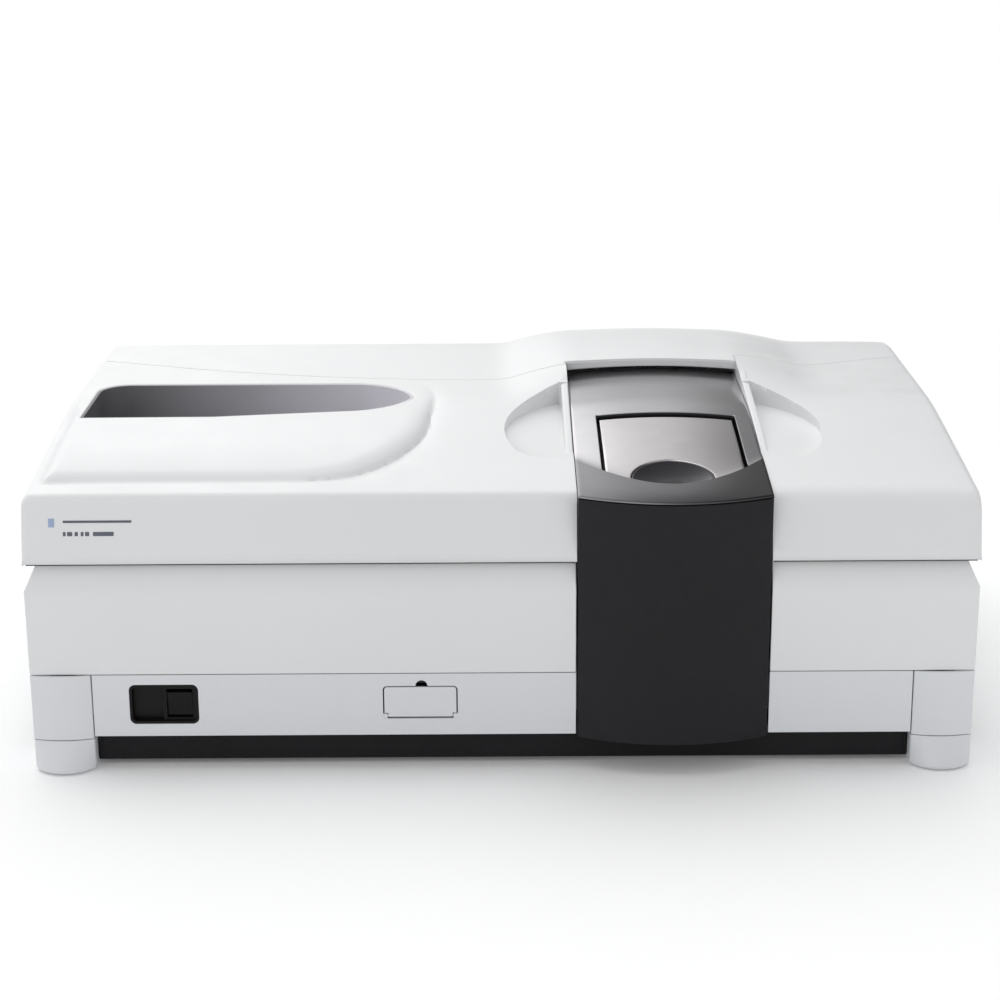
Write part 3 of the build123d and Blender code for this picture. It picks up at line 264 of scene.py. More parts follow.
random.seed(7)
NODES = frame["nodes"]
SLOT_OF = {part["node"]: part.get("material_slot") or part.get("slot")
           for part in frame["record"].get("subparts", [])}
cad_box = [list(v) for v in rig.bounds()] if hasattr(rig, "bounds") else None


# ------------------------------------------------------------------ shader helpers
MATERIALS = {}


def feed(tree, node, inputs):
    """Link each input that is given a socket; set the others."""
    for key, value in inputs.items():
        if isinstance(value, bpy.types.NodeSocket):
            tree.links.new(value, node.inputs[key])
        else:
            node.inputs[key].default_value = value


def add_node(tree, kind, inputs={}, **settings):
    node = tree.nodes.new("ShaderNode" + kind)
    for key, value in settings.items():
        setattr(node, key, value)
    feed(tree, node, inputs)
    return node


def new_material(name):
    """A listed material with a bare shader; gives its tree, shader and object coordinates."""
    material = bpy.data.materials.new(name)
    material.use_nodes = True
    MATERIALS[name] = material
    tree = material.node_tree
    tree.nodes.clear()
    output = add_node(tree, "OutputMaterial")
    shader = add_node(tree, "BsdfPrincipled")
    tree.links.new(shader.outputs[0], output.inputs[0])
    return tree, shader, add_node(tree, "TexCoord").outputs["Object"]


def noise(tree, place, scale, detail=4.0, roughness=0.55, stretch=None):
    node = add_node(tree, "TexNoise",
                    {"Scale": scale, "Detail": detail, "Roughness": roughness})
    if stretch:
        place = add_node(tree, "Mapping", {"Scale": stretch, "Vector": place}).outputs[0]
    feed(tree, node, {"Vector": place})
    return node.outputs["Fac"]


def ramp(tree, factor, stops, interpolation="LINEAR"):
    """Colour ramp through (position, rgb) stops."""
    node = add_node(tree, "ValToRGB")
    node.color_ramp.interpolation = interpolation
    elements = node.color_ramp.elements
    for element, (position, color) in zip((elements[0], elements[1]), (stops[0], stops[-1])):
        element.position = position
        element.color = (*color, 1)
    for position, color in stops[1:-1]:
        elements.new(position).color = (*color, 1)
    tree.links.new(factor, node.inputs[0])
    return node.outputs[0]


def span(tree, value, low, high, start=0.3, stop=0.7):
    """Map value from start..stop to low..high."""
    return add_node(tree, "MapRange", {"From Min": start, "From Max": stop, "To Min": low,
                                       "To Max": high, "Value": value}).outputs[0]


def add_bump(tree, shader, height, strength, depth, under=None):
    inputs = {"Strength": strength, "Distance": depth, "Height": height}
    if under is not None:
        inputs["Normal"] = under
    normal = add_node(tree, "Bump", inputs).outputs[0]
    feed(tree, shader, {"Normal": normal})
    return normal


# ------------------------------------------------------------------ materials
def finish(name, color, roughness, metal=0.0, vary=0.025, cloud=6.0, grain=1500.0,
           depth=0.00002, strength=0.25, stretch=None, coat=0.0, rough_vary=0.06,
           specular=0.5, ribs=None, painted_light_x=None):
    """A surface with cloudy tint (cloud: its scale, vary: its range) and a fine grain.

    grain, depth, strength and stretch shape the grain; ribs adds a banded bump;
    the last argument maps object x to a gain on the tint, painting shade and light across the part.
    """
    tree, shader, place = new_material(name)
    dark = tuple(c * (1 - vary) for c in color)
    light = tuple(c * (1 + vary) for c in color)
    tint = ramp(tree, noise(tree, place, cloud, detail=5.0),
                [(0.3, dark), (0.5, color), (0.7, light)])
    # painted light: the tint is scaled along object x to stand in for shade and light
    if painted_light_x:
        across = add_node(tree, "SeparateXYZ", {0: place}).outputs["X"]
        painted_light_gain = span(tree, across, **painted_light_x)
        tint = add_node(tree, "VectorMath", {0: tint, "Scale": painted_light_gain},
                        operation="SCALE").outputs[0]
    feed(tree, shader, {"Base Color": tint})
    fine = noise(tree, place, grain, detail=2.0, roughness=0.6, stretch=stretch)
    patches = noise(tree, place, cloud * 7, detail=3.0)
    feed(tree, shader, {
        "Roughness": span(tree, patches, roughness - rough_vary, roughness + rough_vary),
        "Metallic": metal, "Specular IOR Level": specular,
        "Coat Weight": coat, "Coat Roughness": 0.18})
    normal = add_bump(tree, shader, fine, strength, depth)
    if ribs:
        wave = add_node(tree, "TexWave",
                        {"Scale": ribs["scale"], "Distortion": 0.0, "Vector": place},
                        wave_type="BANDS", bands_direction=ribs["axis"])
        add_bump(tree, shader, wave.outputs["Fac"], ribs["strength"], ribs["depth"], normal)


def circuit_board():
    """Green tiles with gold lines between them."""
    tree, shader, place = new_material("circuit_green")
    tiles = add_node(tree, "TexBrick", {
        "Scale": 60.0, "Mortar Size": 0.03, "Color1": (0.02, 0.16, 0.07, 1),
        "Color2": (0.03, 0.20, 0.09, 1), "Mortar": (0.30, 0.25, 0.08, 1), "Vector": place})
    feed(tree, shader, {"Base Color": tiles.outputs["Color"], "Roughness": 0.35})
    add_bump(tree, shader, tiles.outputs["Fac"], strength=0.4, depth=0.0001)


def clear_glass():
    tree, shader, place = new_material("clear_glass")
    feed(tree, shader, {
        "Roughness": span(tree, noise(tree, place, scale=60, detail=3.0), low=0.01, high=0.06),
        "Base Color": ramp(tree, noise(tree, place, scale=12, detail=3.0),
                           [(0.3, (0.90, 0.95, 0.96)), (0.7, (0.97, 0.99, 1.0))]),
        "Transmission Weight": 0.92, "IOR": 1.46})
    add_bump(tree, shader, noise(tree, place, scale=25, detail=2.0), strength=0.05, depth=0.0001)


# grain drawn out along Y, shared by the lid's metals
BRUSHED = dict(vary=0.03, grain=2600, depth=0.000012, strength=0.2, stretch=(1, 0.12, 1),
               rough_vary=0.03)
WHITE_PAINT = dict(vary=0.012, cloud=3.0, depth=0.00003, strength=0.18)

finish("shell_white", (0.80, 0.805, 0.81), 0.36, grain=1300, coat=0.12, **WHITE_PAINT)
finish("panel_white", (0.74, 0.755, 0.78), 0.40, grain=1500, **WHITE_PAINT)
finish("charcoal", (0.0125, 0.0125, 0.0145), 0.50, vary=0.08, cloud=9, grain=1100,
       depth=0.00004, strength=0.35, specular=0.2)
finish("lid_silver", (0.46, 0.45, 0.465), 0.17, metal=0.92, **BRUSHED)
finish("inset_silver", (0.55, 0.53, 0.54), 0.20, metal=0.92, **BRUSHED)
finish("cup_dark", (0.022, 0.020, 0.025), 0.30, vary=0.08, grain=1500, strength=0.3,
       specular=0.28)
# tray liner: the x gain paints shade at its left end and light towards its right end
finish("tray_grey", (0.34, 0.335, 0.355), 0.42, vary=0.06, cloud=8, grain=1400, depth=0.00004,
       strength=0.35, painted_light_x=dict(start=-0.50, stop=-0.10, low=0.25, high=2.3))
finish("plinth_black", (0.0105, 0.0105, 0.012), 0.6, vary=0.1, grain=900, depth=0.00006,
       strength=0.5, specular=0.18)
finish("rubber", (0.022, 0.021, 0.020), 0.75, vary=0.15, grain=700, depth=0.00015, strength=0.6)
finish("cast_aluminium", (0.52, 0.53, 0.54), 0.48, metal=0.85, vary=0.08, cloud=20, grain=420,
       depth=0.00025, strength=0.55)
finish("sheet_steel", (0.56, 0.57, 0.58), 0.36, metal=0.9, vary=0.05, cloud=14, grain=1600,
       depth=0.00002, strength=0.4, stretch=(0.06, 1, 1))
finish("rear_grey", (0.56, 0.57, 0.59), 0.46, vary=0.03, grain=950, depth=0.00008,
       strength=0.45)
finish("black_metal", (0.028, 0.028, 0.030), 0.42, metal=0.4, vary=0.1, grain=900,
       depth=0.00006, strength=0.45)
finish("optic_mirror", (0.86, 0.87, 0.90), 0.06, metal=1.0, vary=0.02, grain=60,
       depth=0.00001, strength=0.1, rough_vary=0.02)
clear_glass()
circuit_board()
finish("switch_black", (0.0075, 0.007, 0.0075), 0.38, vary=0.1, grain=1500, strength=0.3,
       specular=0.16)
finish("mark_grey", (0.10, 0.11, 0.14), 0.45, vary=0.1, cloud=40, grain=2500, strength=0.3)
finish("cable_black", (0.020, 0.020, 0.022), 0.5, vary=0.1, grain=1200, strength=0.4,
       ribs=dict(axis="X", scale=160.0, strength=0.3, depth=0.0002))
finish("screw_steel", (0.50, 0.50, 0.51), 0.28, metal=1.0, vary=0.05, grain=2200,
       depth=0.00002, strength=0.4)
# lid lip: a darker copy of the lid silver whose x gain runs from light at the left to dark at the right, a painted
# reflection
finish("lid_lip", (0.16, 0.157, 0.166), 0.24, metal=0.9,
       painted_light_x=dict(start=0.08, stop=0.29, low=1.35, high=0.35), **BRUSHED)
finish("mark_blue", (0.34, 0.42, 0.60), 0.4, vary=0.08, cloud=60, grain=2500)
# near-black strip in the seam under the covers: a painted shadow line
finish("light_seal", (0.012, 0.012, 0.013), 0.85, vary=0.2, cloud=40, grain=600,
       depth=0.0002, strength=0.7)


# ------------------------------------------------------------------ curve helpers, mm
SPLINE_STEPS = 14


def spline(points, start_slope=None, end_slope=None):
    """Hermite curve through (u, v) points, sampled; returns its u and v arrays."""
    points = np.array(points, float)
    u, v = points[:, 0], points[:, 1]
    slope = np.gradient(v, u)
    if start_slope is not None:
        slope[0] = start_slope
    if end_slope is not None:
        slope[-1] = end_slope
    us, vs = [], []
    for i in range(len(u) - 1):
        h = u[i + 1] - u[i]
        t = np.linspace(0, 1, SPLINE_STEPS, endpoint=False)
        us.append(u[i] + h * t)
        vs.append((2 * t**3 - 3 * t**2 + 1) * v[i] + (t**3 - 2 * t**2 + t) * h * slope[i]
                  + (-2 * t**3 + 3 * t**2) * v[i + 1] + (t**3 - t**2) * h * slope[i + 1])
    return np.concatenate(us + [[u[-1]]]), np.concatenate(vs + [[v[-1]]])


def run_length(points):
    """Distance along a polyline at each of its points."""
    return np.concatenate([[0], np.cumsum(np.hypot(*np.diff(points, axis=0).T))])


def smooth(t):
    t = np.clip(t, 0, 1)
    return t * t * (3 - 2 * t)


def between(start, end, t):
    return start * (1 - t) + end * t


def rounded_edge(inset, radius):
    """Drop of a rounded edge at a distance inside it."""
    inset = np.clip(inset, 0, radius)
    return radius - np.sqrt(np.clip(radius * radius - (radius - inset) ** 2, 0, None))


def steps(low, high, gap):
    """Even stations from low to high, about gap apart."""
    count = max(1, int(round((high - low) / gap)))
    return list(np.linspace(low, high, count + 1))


def signed(outline, x, y, chunk=20000):
    """Signed distance to a closed polygon, positive inside."""
    a, b = outline, np.roll(outline, -1, axis=0)
    ax, ay, bx, by = a[None, :, 0], a[None, :, 1], b[None, :, 0], b[None, :, 1]
    side = (b - a)[None]
    queries = np.stack([np.ravel(x), np.ravel(y)], 1)
    out = np.empty(len(queries))
    for i in range(0, len(queries), chunk):
        p = queries[i:i + chunk, None, :]
        t = np.clip(((p - a) * side).sum(2) / np.maximum((side**2).sum(2), 1e-9), 0, 1)
        dist = np.sqrt((((a + t[..., None] * side) - p) ** 2).sum(2)).min(1)
        px, py = p[:, :, 0], p[:, :, 1]
        run = np.where(by == ay, 1e-9, by - ay)
        crossed = ((ay > py) != (by > py)) & (px < (bx - ax) * (py - ay) / run + ax)
        out[i:i + chunk] = np.where(crossed.sum(1) % 2 == 1, dist, -dist)
    return out.reshape(np.shape(x))


def arc_through(start, middle, end, count):
    """Points on the circle arc through three points, the start left out."""
    (x1, y1), (x2, y2), (x3, y3) = start, middle, end
    q = 2 * (x1 * (y2 - y3) + x2 * (y3 - y1) + x3 * (y1 - y2))
    s1, s2, s3 = x1**2 + y1**2, x2**2 + y2**2, x3**2 + y3**2
    cx = (s1 * (y2 - y3) + s2 * (y3 - y1) + s3 * (y1 - y2)) / q
    cy = (s1 * (x3 - x2) + s2 * (x1 - x3) + s3 * (x2 - x1)) / q
    radius = math.hypot(x1 - cx, y1 - cy)
    a1, a2, a3 = (math.atan2(y - cy, x - cx) for x, y in (start, middle, end))
    turn = 2 * math.pi
    if (a2 - a1) % turn > (a3 - a1) % turn:
        sweep = -((a1 - a3) % turn)
    else:
        sweep = (a3 - a1) % turn
    angles = [a1 + sweep * k / count for k in range(1, count + 1)]
    return [(cx + radius * math.cos(a), cy + radius * math.sin(a)) for a in angles]


# ------------------------------------------------------------------ form of the top covers, mm
FRONT_Y = -302.5                    # world y of the covers' front edge
END_X = 510.0                       # half the case width
REAR_Y = 630.0
FOOT_Z = 236.9                      # lower edge of the covers
SEAM_RADIUS, SEAM_CENTER_Y = 1139.5, 1539.5
SEAM_HALF_GAP = 0.5
SEAM_ROUND = 1.3
END_ROUND = 9
LID_X = 184.0                       # centre line of the lid, its dish and its arch
DISH_Y, DISH_RADIUS = 203, 181.0
ARCH_Y = 413.0                      # front wall of the arch over the lid
RIMS_X = ((72.0, 80.0), (288.0, 296.0))     # raised rims beside the lid
RIM_ROUND = 1.3

# (y, z) lines of the side profile, front to back
TOP_RUN = spline([(45, 311.8), (80, 316), (127, 321), (180, 326.2), (230, 331), (256, 333.4),
                  (290, 335.9), (330, 337.5)], end_slope=0.0)
REAR_DROP = spline([(560, 337.5), (600, 335.5), (620, 332.0), (626.5, 328.5), (629.2, 323.5),
                    (630, 316)], start_slope=0.0, end_slope=-8)


def profile(arc_start, arc_end):
    """Side profile as (y, z): leaning front face, rounded front corner, top, rear drop."""
    t = np.linspace(0, 1, 16)[:, None]
    corner = np.array((17.6, 308.1), float)
    arc = ((1 - t) ** 2 * np.array(arc_start, float) + 2 * t * (1 - t) * corner
           + t**2 * np.array(arc_end, float))
    return (np.concatenate([[0.0], arc[:, 0], TOP_RUN[0], REAR_DROP[0]]),
            np.concatenate([[236.0], arc[:, 1], TOP_RUN[1], REAR_DROP[1]]))


CRISP = profile((16.0, 301.5), (24.0, 309.0))
SOFT = profile((13.6, 291.5), (36.0, 310.6))        # towards the right end

# hump behind the lid: share of its height over x, and its height over y
BELL = spline([(-24, 0.0), (8, 0.09), (34, 0.42), (72, 0.80), (120, 0.93), (184, 1.0),
               (248, 0.93), (296, 0.80), (340, 0.42), (370, 0.09), (402, 0.0)],
              start_slope=0, end_slope=0)
RISE = spline([(262, 0.0), (300, 4.0), (350, 14.5), (413, 23.0), (500, 24.5), (570, 21.0),
               (629.5, 19.0)], start_slope=0, end_slope=-0.02)
# (y, z) of the rims beside the lid, and of the pillow's top
RIM = spline([(36, 296.0), (80, 307.3), (127, 318), (180, 327.6), (230, 335), (300, 344.5),
              (350, 350.5), (415, 356)])
PILLOW_TOP = spline([(50, 315.5), (71, 320.6), (90, 324.4), (115, 328.4), (150, 332.3),
                     (190, 335.4), (231, 337.4), (300, 337.5), (400, 337.5)], end_slope=0)

# plan (x, y) of the pillow that carries the tray: two left corners, then its right side
PILLOW_CORNERS = np.array([(-494, 56), (-494, 392)], float)
PILLOW_SIDE = np.array([
    (-104, 392), (-87, 362), (-80, 325), (-80, 290), (-82, 240), (-86, 195), (-104, 140),
    (-133, 94), (-165, 68), (-200, 58), (-255, 56)], float)


def pillow_outline():
    along = run_length(PILLOW_SIDE)
    side = [spline(np.stack([along, PILLOW_SIDE[:, i]], 1))[1] for i in (0, 1)]
    return np.concatenate([PILLOW_CORNERS, np.stack(side, 1)])


PILLOW = pillow_outline()


def tray_outline(grow=0.0):
    """Plan outline of the tray, evenly resampled clockwise and pushed out by grow."""
    corner = 36 * (1 - math.sqrt(0.5))
    points = [(-483, 231), (-483, 350)]
    points += arc_through((-483, 350), (-483 + corner, 386 - corner), (-447, 386), 20)
    points += [(-178, 386)]
    points += arc_through((-178, 386), (-130, 367), (-104, 322), 30)
    points += arc_through((-104, 322), (-102.8, 319), (-104, 316), 8)
    points += arc_through((-104, 316), (-127, 278), (-168, 255), 26)
    points += [(-330, 232)]
    points = np.array(points, float)
    closed = np.vstack([points, points[:1]])
    along = run_length(closed)
    even = np.linspace(0, along[-1], int(along[-1] / 2.6), endpoint=False)
    outline = np.stack([np.interp(even, along, closed[:, 0]),
                        np.interp(even, along, closed[:, 1])], 1)
    if grow:
        tangent = np.roll(outline, -1, axis=0) - np.roll(outline, 1, axis=0)
        normal = np.stack([-tangent[:, 1], tangent[:, 0]], 1)
        normal /= np.linalg.norm(normal, axis=1)[:, None]
        outline = outline + normal * grow
    return outline


TRAY = tray_outline()


def seam(x):
    """y of the curved seam between the front covers and the rear cover."""
    return SEAM_CENTER_Y - np.sqrt(SEAM_RADIUS**2 - np.asarray(x, float) ** 2)


def with_pillow(x, y, z):
    """Lift z to the pillow, over a soft roll, with a shallow groove around its foot."""
    inside = signed(PILLOW, x, y)
    width = 15.0 + 15.0 * smooth((x + 250) / 130) * smooth((330 - y) / 120)
    roll = np.clip(inside / width, 0, 1)
    roll = np.sqrt(1 - (1 - roll) ** 2.4)
    groove = 3.2 * np.exp(-np.clip(-inside, 0, 200) / 9.0)
    low = z - groove * smooth((392 - y) / 120) * smooth((y - 42) / 22)
    top = np.interp(y, *PILLOW_TOP)
    return np.where(inside > 0, low + (np.maximum(top, z) - low) * roll, low)


def with_dish(x, y, z):
    """Cut the round dish about the lid, with a steep wall at its edge."""
    radius = np.hypot(x - LID_X, y - DISH_Y)
    t = np.clip((radius - 150) / 29.5, 0, 1)
    floor = 319.3 + 2.6 * t**3
    floor = np.where(radius > 179.5, floor + (radius - 179.5) / 1.5 * 30, floor)
    return np.where((radius < DISH_RADIUS) & (y < 402), np.minimum(z, floor), z)


def with_rims(x, y, z):
    for left, right in RIMS_X:
        drop = rounded_edge(np.minimum(x - left, right - x), RIM_ROUND)
        band = (x >= left - 1e-6) & (x <= right + 1e-6) & (y > 40) & (y < 416)
        z = np.where(band, np.maximum(z, np.interp(y, *RIM) - drop), z)
    return z


def surface(x, y):
    """Height of the outer skin over plan points."""
    x, y = np.asarray(x, float), np.asarray(y, float)
    z = between(np.interp(y, *CRISP), np.interp(y, *SOFT), smooth((x - 250) / 90))
    from_end = END_X - np.abs(x)
    # wide soft fall towards the ends
    z = z - 2.2 * np.exp(-from_end / 26.0) * smooth(y / 60)
    z = z + np.interp(x, *BELL) * np.interp(y, *RISE) * (y > 262)
    z = with_rims(x, y, with_dish(x, y, with_pillow(x, y, z)))
    return z - rounded_edge(from_end, END_ROUND)


# ------------------------------------------------------------------ mesh helpers
def mesh_object(name, points, faces, materials, angle=35, face_materials=None):
    """An object from mm points; edges sharper than angle (degrees) stay sharp."""
    points = np.array(points, float)
    points = np.stack([points[:, 0], points[:, 1] + FRONT_Y, points[:, 2]], 1) / 1000.0
    mesh = bpy.data.meshes.new(name)
    mesh.from_pydata([tuple(p) for p in points], [], faces)
    mesh.validate()
    mesh.update()
    mesh.polygons.foreach_set("use_smooth", [True] * len(mesh.polygons))
    mesh.set_sharp_from_angle(angle=math.radians(angle))
    for material in materials:
        mesh.materials.append(MATERIALS[material])
    obj = bpy.data.objects.new(name, mesh)
    bpy.context.scene.collection.objects.link(obj)
    if face_materials is not None:
        mesh.polygons.foreach_set("material_index", face_materials)
    return obj


def add_modifier(obj, name, kind, **settings):
    modifier = obj.modifiers.new(name, kind)
    for key, value in settings.items():
        setattr(modifier, key, value)


def add_skin(obj, thickness):
    """Thicken a sheet inwards; thickness in metres."""
    add_modifier(obj, "skin", "SOLIDIFY", thickness=thickness, offset=-1.0)


def register(obj, body, slot, node=None):
    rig.ride(obj, body)
    if node:
        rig.replaces(obj, node)
    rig.slot(obj, slot)


def triangulate(points, edges):
    """Delaunay triangles over plan points, keeping the edges."""
    out = delaunay_2d_cdt([Vector(p) for p in points], edges, [], 0, 1e-5)
    return np.array([tuple(v) for v in out[0]], float), [tuple(f) for f in out[2]]


def facing_up(points, face):
    a, b, c = (points[i] for i in face)
    area = (b[0] - a[0]) * (c[1] - a[1]) - (c[0] - a[0]) * (b[1] - a[1])
    return face if area > 0 else face[::-1]


def directed_edges(faces):
    return ((f[i], f[(i + 1) % 3]) for f in faces for i in range(3))


def open_edges(edges):
    """Directed edges whose opposite is missing, in the order of the collection."""
    return [e for e in edges if (e[1], e[0]) not in edges]


def grid_quad(row, i, columns, base=0):
    near = base + row * columns + i
    far = base + (row + 1) * columns + i
    return (near, near + 1, far + 1, far)


def tube_faces(rings, size, base=0):
    """Quads between closed rings of size points."""
    return [(base + j * size + i, base + j * size + (i + 1) % size,
             base + (j + 1) * size + (i + 1) % size, base + (j + 1) * size + i)
            for j in range(rings - 1) for i in range(size)]


def end_caps(rings, size, base):
    last = base + (rings - 1) * size
    return [tuple(base + i for i in range(size)),
            tuple(last + i for i in reversed(range(size)))]


# ------------------------------------------------------------------ top covers
COVER_THICKNESS = 0.0026            # metres
TRAY_ROUND = 2.6
TRAY_SKIRT, SEAM_SKIRT, FULL_SKIRT = 5.0, 14.0, math.inf

# mesh stations: distances in from an end, rows behind the front edge, distances from the seam
END_INSETS = [0, 0.12, 0.5, 1.2, 2.2, 3.6, 5.2, 7, 9, 11.5, 14.5, 18]
FRONT_ROWS = [0, 3, 6, 9, 11.5, 13.6, 15.2, 16.0, 16.5, 17, 17.5, 18.1, 18.8, 19.7, 20.8,
              22.2, 24, 26.5, 29.5]
SEAM_INSETS = [0.0, 0.12, 0.4, 0.9, 1.6, 3.0]
REAR_ROWS = [604, 608, 612, 616, 619.5, 622.5, 625, 626.8, 628.2, 629.2, 629.7, 630]
# radii of the rings that follow the dish edge, and outsets of those around the tray hole
DISH_RINGS = (182.2, 181.01, 180.6, 180.2, 179.8, 179.45, 178, 176, 173.5, 171)
TRAY_RINGS = (0.0, 0.18, 0.7, 1.6, 2.6, 4.0)

LEFT_END = [-END_X + e for e in END_INSETS]
RIGHT_END = [END_X - e for e in END_INSETS]
LEFT_COLUMNS = LEFT_END + steps(-489, 69, 3.0) + [
    70.6, 71.6, 72.0, 72.2, 72.6, 73.3, 75, 76, 77.5, 78.7, 79.4, 79.8, 80.0]
RIGHT_COLUMNS = [288.0, 288.2, 288.6, 289.3, 290.5, 292, 293.5, 294.7, 295.4, 295.8, 296.0,
                 296.4, 297.4] + steps(300, 489, 3.0) + RIGHT_END
REAR_COLUMNS = (LEFT_END + steps(-489, 77, 3.2) + [79.95, 80.0] + steps(83, 286, 3.2)
                + [288.2, 288.25] + steps(291, 489, 3.2) + RIGHT_END)


def front_cover_rows(end):
    return FRONT_ROWS + steps(33, end - 5.5, 3.0) + [end - s for s in SEAM_INSETS[::-1]]


def rear_cover_rows(start):
    return sorted(set([start + s for s in SEAM_INSETS] + steps(start + 5.5, 600, 3.2)
                      + REAR_ROWS))


def clear_dish_edge(grid, columns, rear_edge):
    """Drop grid points near the dish edge, where rings take their place."""
    x, y = grid[:, 0], grid[:, 1]
    radius = np.hypot(x - LID_X, y - DISH_Y)
    zone = (radius > 170) & (radius < 184) & (y > 60) & (y < 398)
    zone &= ~np.isin(np.round(x, 3), np.round([columns[0], columns[-1]], 3))
    zone &= y < np.array([rear_edge(v) for v in x]) - 2
    return grid[~zone]


def dish_ring_points(columns, rear_edge):
    points = []
    for radius in DISH_RINGS:
        for degrees in np.arange(0, 360, 0.75):
            x = LID_X + radius * math.cos(math.radians(degrees))
            y = DISH_Y + radius * math.sin(math.radians(degrees))
            if (columns[0] + 0.4 < x < columns[-1] - 0.4
                    and 40 < y < float(rear_edge(x)) - 4
                    and not (70 < x < 81.5) and not (286.5 < x < 298)):
                points.append((x, y))
    return points


def cover_height(x, y, rear, tray):
    """Outer skin with small rounded edges at the seam, the arch and the tray hole."""
    gap = np.abs(y - seam(x)) - SEAM_HALF_GAP
    if rear:
        gap = np.where((x > 79.9) & (x < 288.4), np.abs(y - ARCH_Y), gap)
    z = surface(x, y) - rounded_edge(gap, SEAM_ROUND)
    if tray:
        z = z - rounded_edge(-signed(TRAY, x, y), TRAY_ROUND)
    return np.maximum(z, FOOT_Z)


def skirt_drop(x, y, rear, tray):
    """How far the skirt hangs from an open edge, or None for no skirt."""
    if tray and abs(float(signed(TRAY, np.array([x]), np.array([y]))[0])) < 1.0:
        return TRAY_SKIRT
    beside_lid = not rear and (abs(x - 80) < 0.3 or abs(x - 288.4) < 0.6)
    if abs(abs(x) - END_X) < 0.5 or y > REAR_Y - 0.5 or beside_lid:
        return FULL_SKIRT
    bare = (79.5 < x < 288.6 and y < 440) if rear else y < 0.5
    return None if bare else SEAM_SKIRT


def add_skirts(points, faces, rear, tray):
    feet = {}

    def foot(i, drop):
        if (i, drop) not in feet:
            x, y, z = points[i]
            points.append([x, y, max(FOOT_Z, z - drop)])
            feet[i, drop] = len(points) - 1
        return feet[i, drop]

    for a, b in open_edges(dict.fromkeys(directed_edges(faces))):
        drop = skirt_drop((points[a][0] + points[b][0]) / 2,
                          (points[a][1] + points[b][1]) / 2, rear, tray)
        at_foot = points[a][2] < FOOT_Z + 0.2 and points[b][2] < FOOT_Z + 0.2
        if drop is not None and not at_foot:
            faces.append((b, a, foot(a, drop), foot(b, drop)))


def cover(node, body, name, columns, front_edge, rear_edge, rear=False, tray=False):
    """One moulded cover between two plan edges y(x), with skirts down its open edges."""
    columns = np.array(sorted(set(np.round(columns, 4))))
    points, edges, ring_points = [], [], []
    if rear:
        grid = np.array([(x, y) for x in columns
                         for y in rear_cover_rows(float(front_edge(x)))])
    else:
        grid = np.array([(x, y) for x in columns
                         for y in front_cover_rows(float(rear_edge(x)))])
        grid = clear_dish_edge(grid, columns, rear_edge)
        ring_points = dish_ring_points(columns, rear_edge)
    if tray:
        grid = grid[-signed(TRAY, grid[:, 0], grid[:, 1]) > 4.6]
        for outset in TRAY_RINGS:
            ring = tray_outline(outset)
            start, count = len(points), len(ring)
            points += [tuple(p) for p in ring]
            edges += [(start + i, start + (i + 1) % count) for i in range(count)]
    points += [tuple(p) for p in grid] + ring_points

    plan, faces = triangulate(points, edges)
    centers = np.array([[plan[list(f)][:, 0].mean(), plan[list(f)][:, 1].mean()]
                        for f in faces])
    cx, cy = centers[:, 0], centers[:, 1]
    inside = (cx > columns[0] - 1e-6) & (cx < columns[-1] + 1e-6)
    inside &= cy > np.array([front_edge(x) for x in cx]) - 0.02
    inside &= cy < np.array([rear_edge(x) for x in cx]) + 0.02
    if tray:
        inside &= signed(TRAY, cx, cy) < 0
    faces = [facing_up(plan, f) for f, keep in zip(faces, inside) if keep]

    x, y = plan[:, 0], plan[:, 1]
    points = np.stack([x, y, cover_height(x, y, rear, tray)], 1).tolist()
    add_skirts(points, faces, rear, tray)
    obj = mesh_object(name, points, faces, ["shell_white"], angle=50)
    add_skin(obj, COVER_THICKNESS)
    register(obj, body, SLOT_OF.get(node) or "shell_white", node)


def cover_front(x):
    return 0.0


def cover_seam(x):
    return seam(x) - SEAM_HALF_GAP


def rear_cover_front(x):
    return ARCH_Y if 79.97 < x < 288.22 else float(seam(x)) + SEAM_HALF_GAP


def rear_cover_back(x):
    return REAR_Y


cover("left_cover", "left_cover", "left_cover_skin", LEFT_COLUMNS, cover_front, cover_seam,
      tray=True)
cover("right_cover", "right_cover", "right_cover_skin", RIGHT_COLUMNS, cover_front, cover_seam)
cover("rear_top_cover", "base", "rear_cover_skin", REAR_COLUMNS, rear_cover_front,
      rear_cover_back, rear=True)


def arch_face():
    """Front wall of the arch and the ceiling of the throat the lid slides into."""
    xs = np.array(steps(80.0, 288.2, 2.6))
    throat = 345.5 + 5.0 * (1 - ((xs - LID_X) / 105.0) ** 2)
    top = surface(xs, np.full(len(xs), ARCH_Y)) - SEAM_ROUND
    # (y, heights) rows: down the wall, round its lower edge, back along the ceiling
    rows = [(ARCH_Y, top)]
    rows += [(ARCH_Y, top + (throat - top) * k) for k in (0.25, 0.5, 0.75)]
    rows += [(ARCH_Y, throat + 0.8), (ARCH_Y + 0.3, throat + 0.2)]
    rows += [(y, throat) for y in (414.2, 430, 480, 540, 600)]
    points = [(x, y, z) for y, heights in rows for x, z in zip(xs, heights)]
    faces = []
    for row in range(len(rows) - 1):
        for i in range(len(xs) - 1):
            a, b, c, d = grid_quad(row, i, len(xs))
            faces.append((a, d, c, b))
    obj = mesh_object("arch_face", points, faces, ["shell_white"], angle=50)
    add_skin(obj, 0.0024)
    register(obj, "base", "shell_white")


arch_face()

# ------------------------------------------------------------------ lid, inset panel, finger cup
LID_HALF = 103.3                    # half width of the lid
RECESS_X = (109.0, 268.0)           # sides of the recess in the lid
RECESS_REAR = 232.0
RECESS_DEPTH = 9.6
INSET_GAP = 3.5                     # between the recess sides and the inset panel
INSET_REAR = 222.0
INSET_DROP = 2.5                    # panel top below the lid surface
CUP_Y, CUP_RADIUS = 48.0, 45.0
LIP_BOTTOM, LID_BOTTOM = 307.6, 296.5
LID_SHEET = 0.0012                  # metres

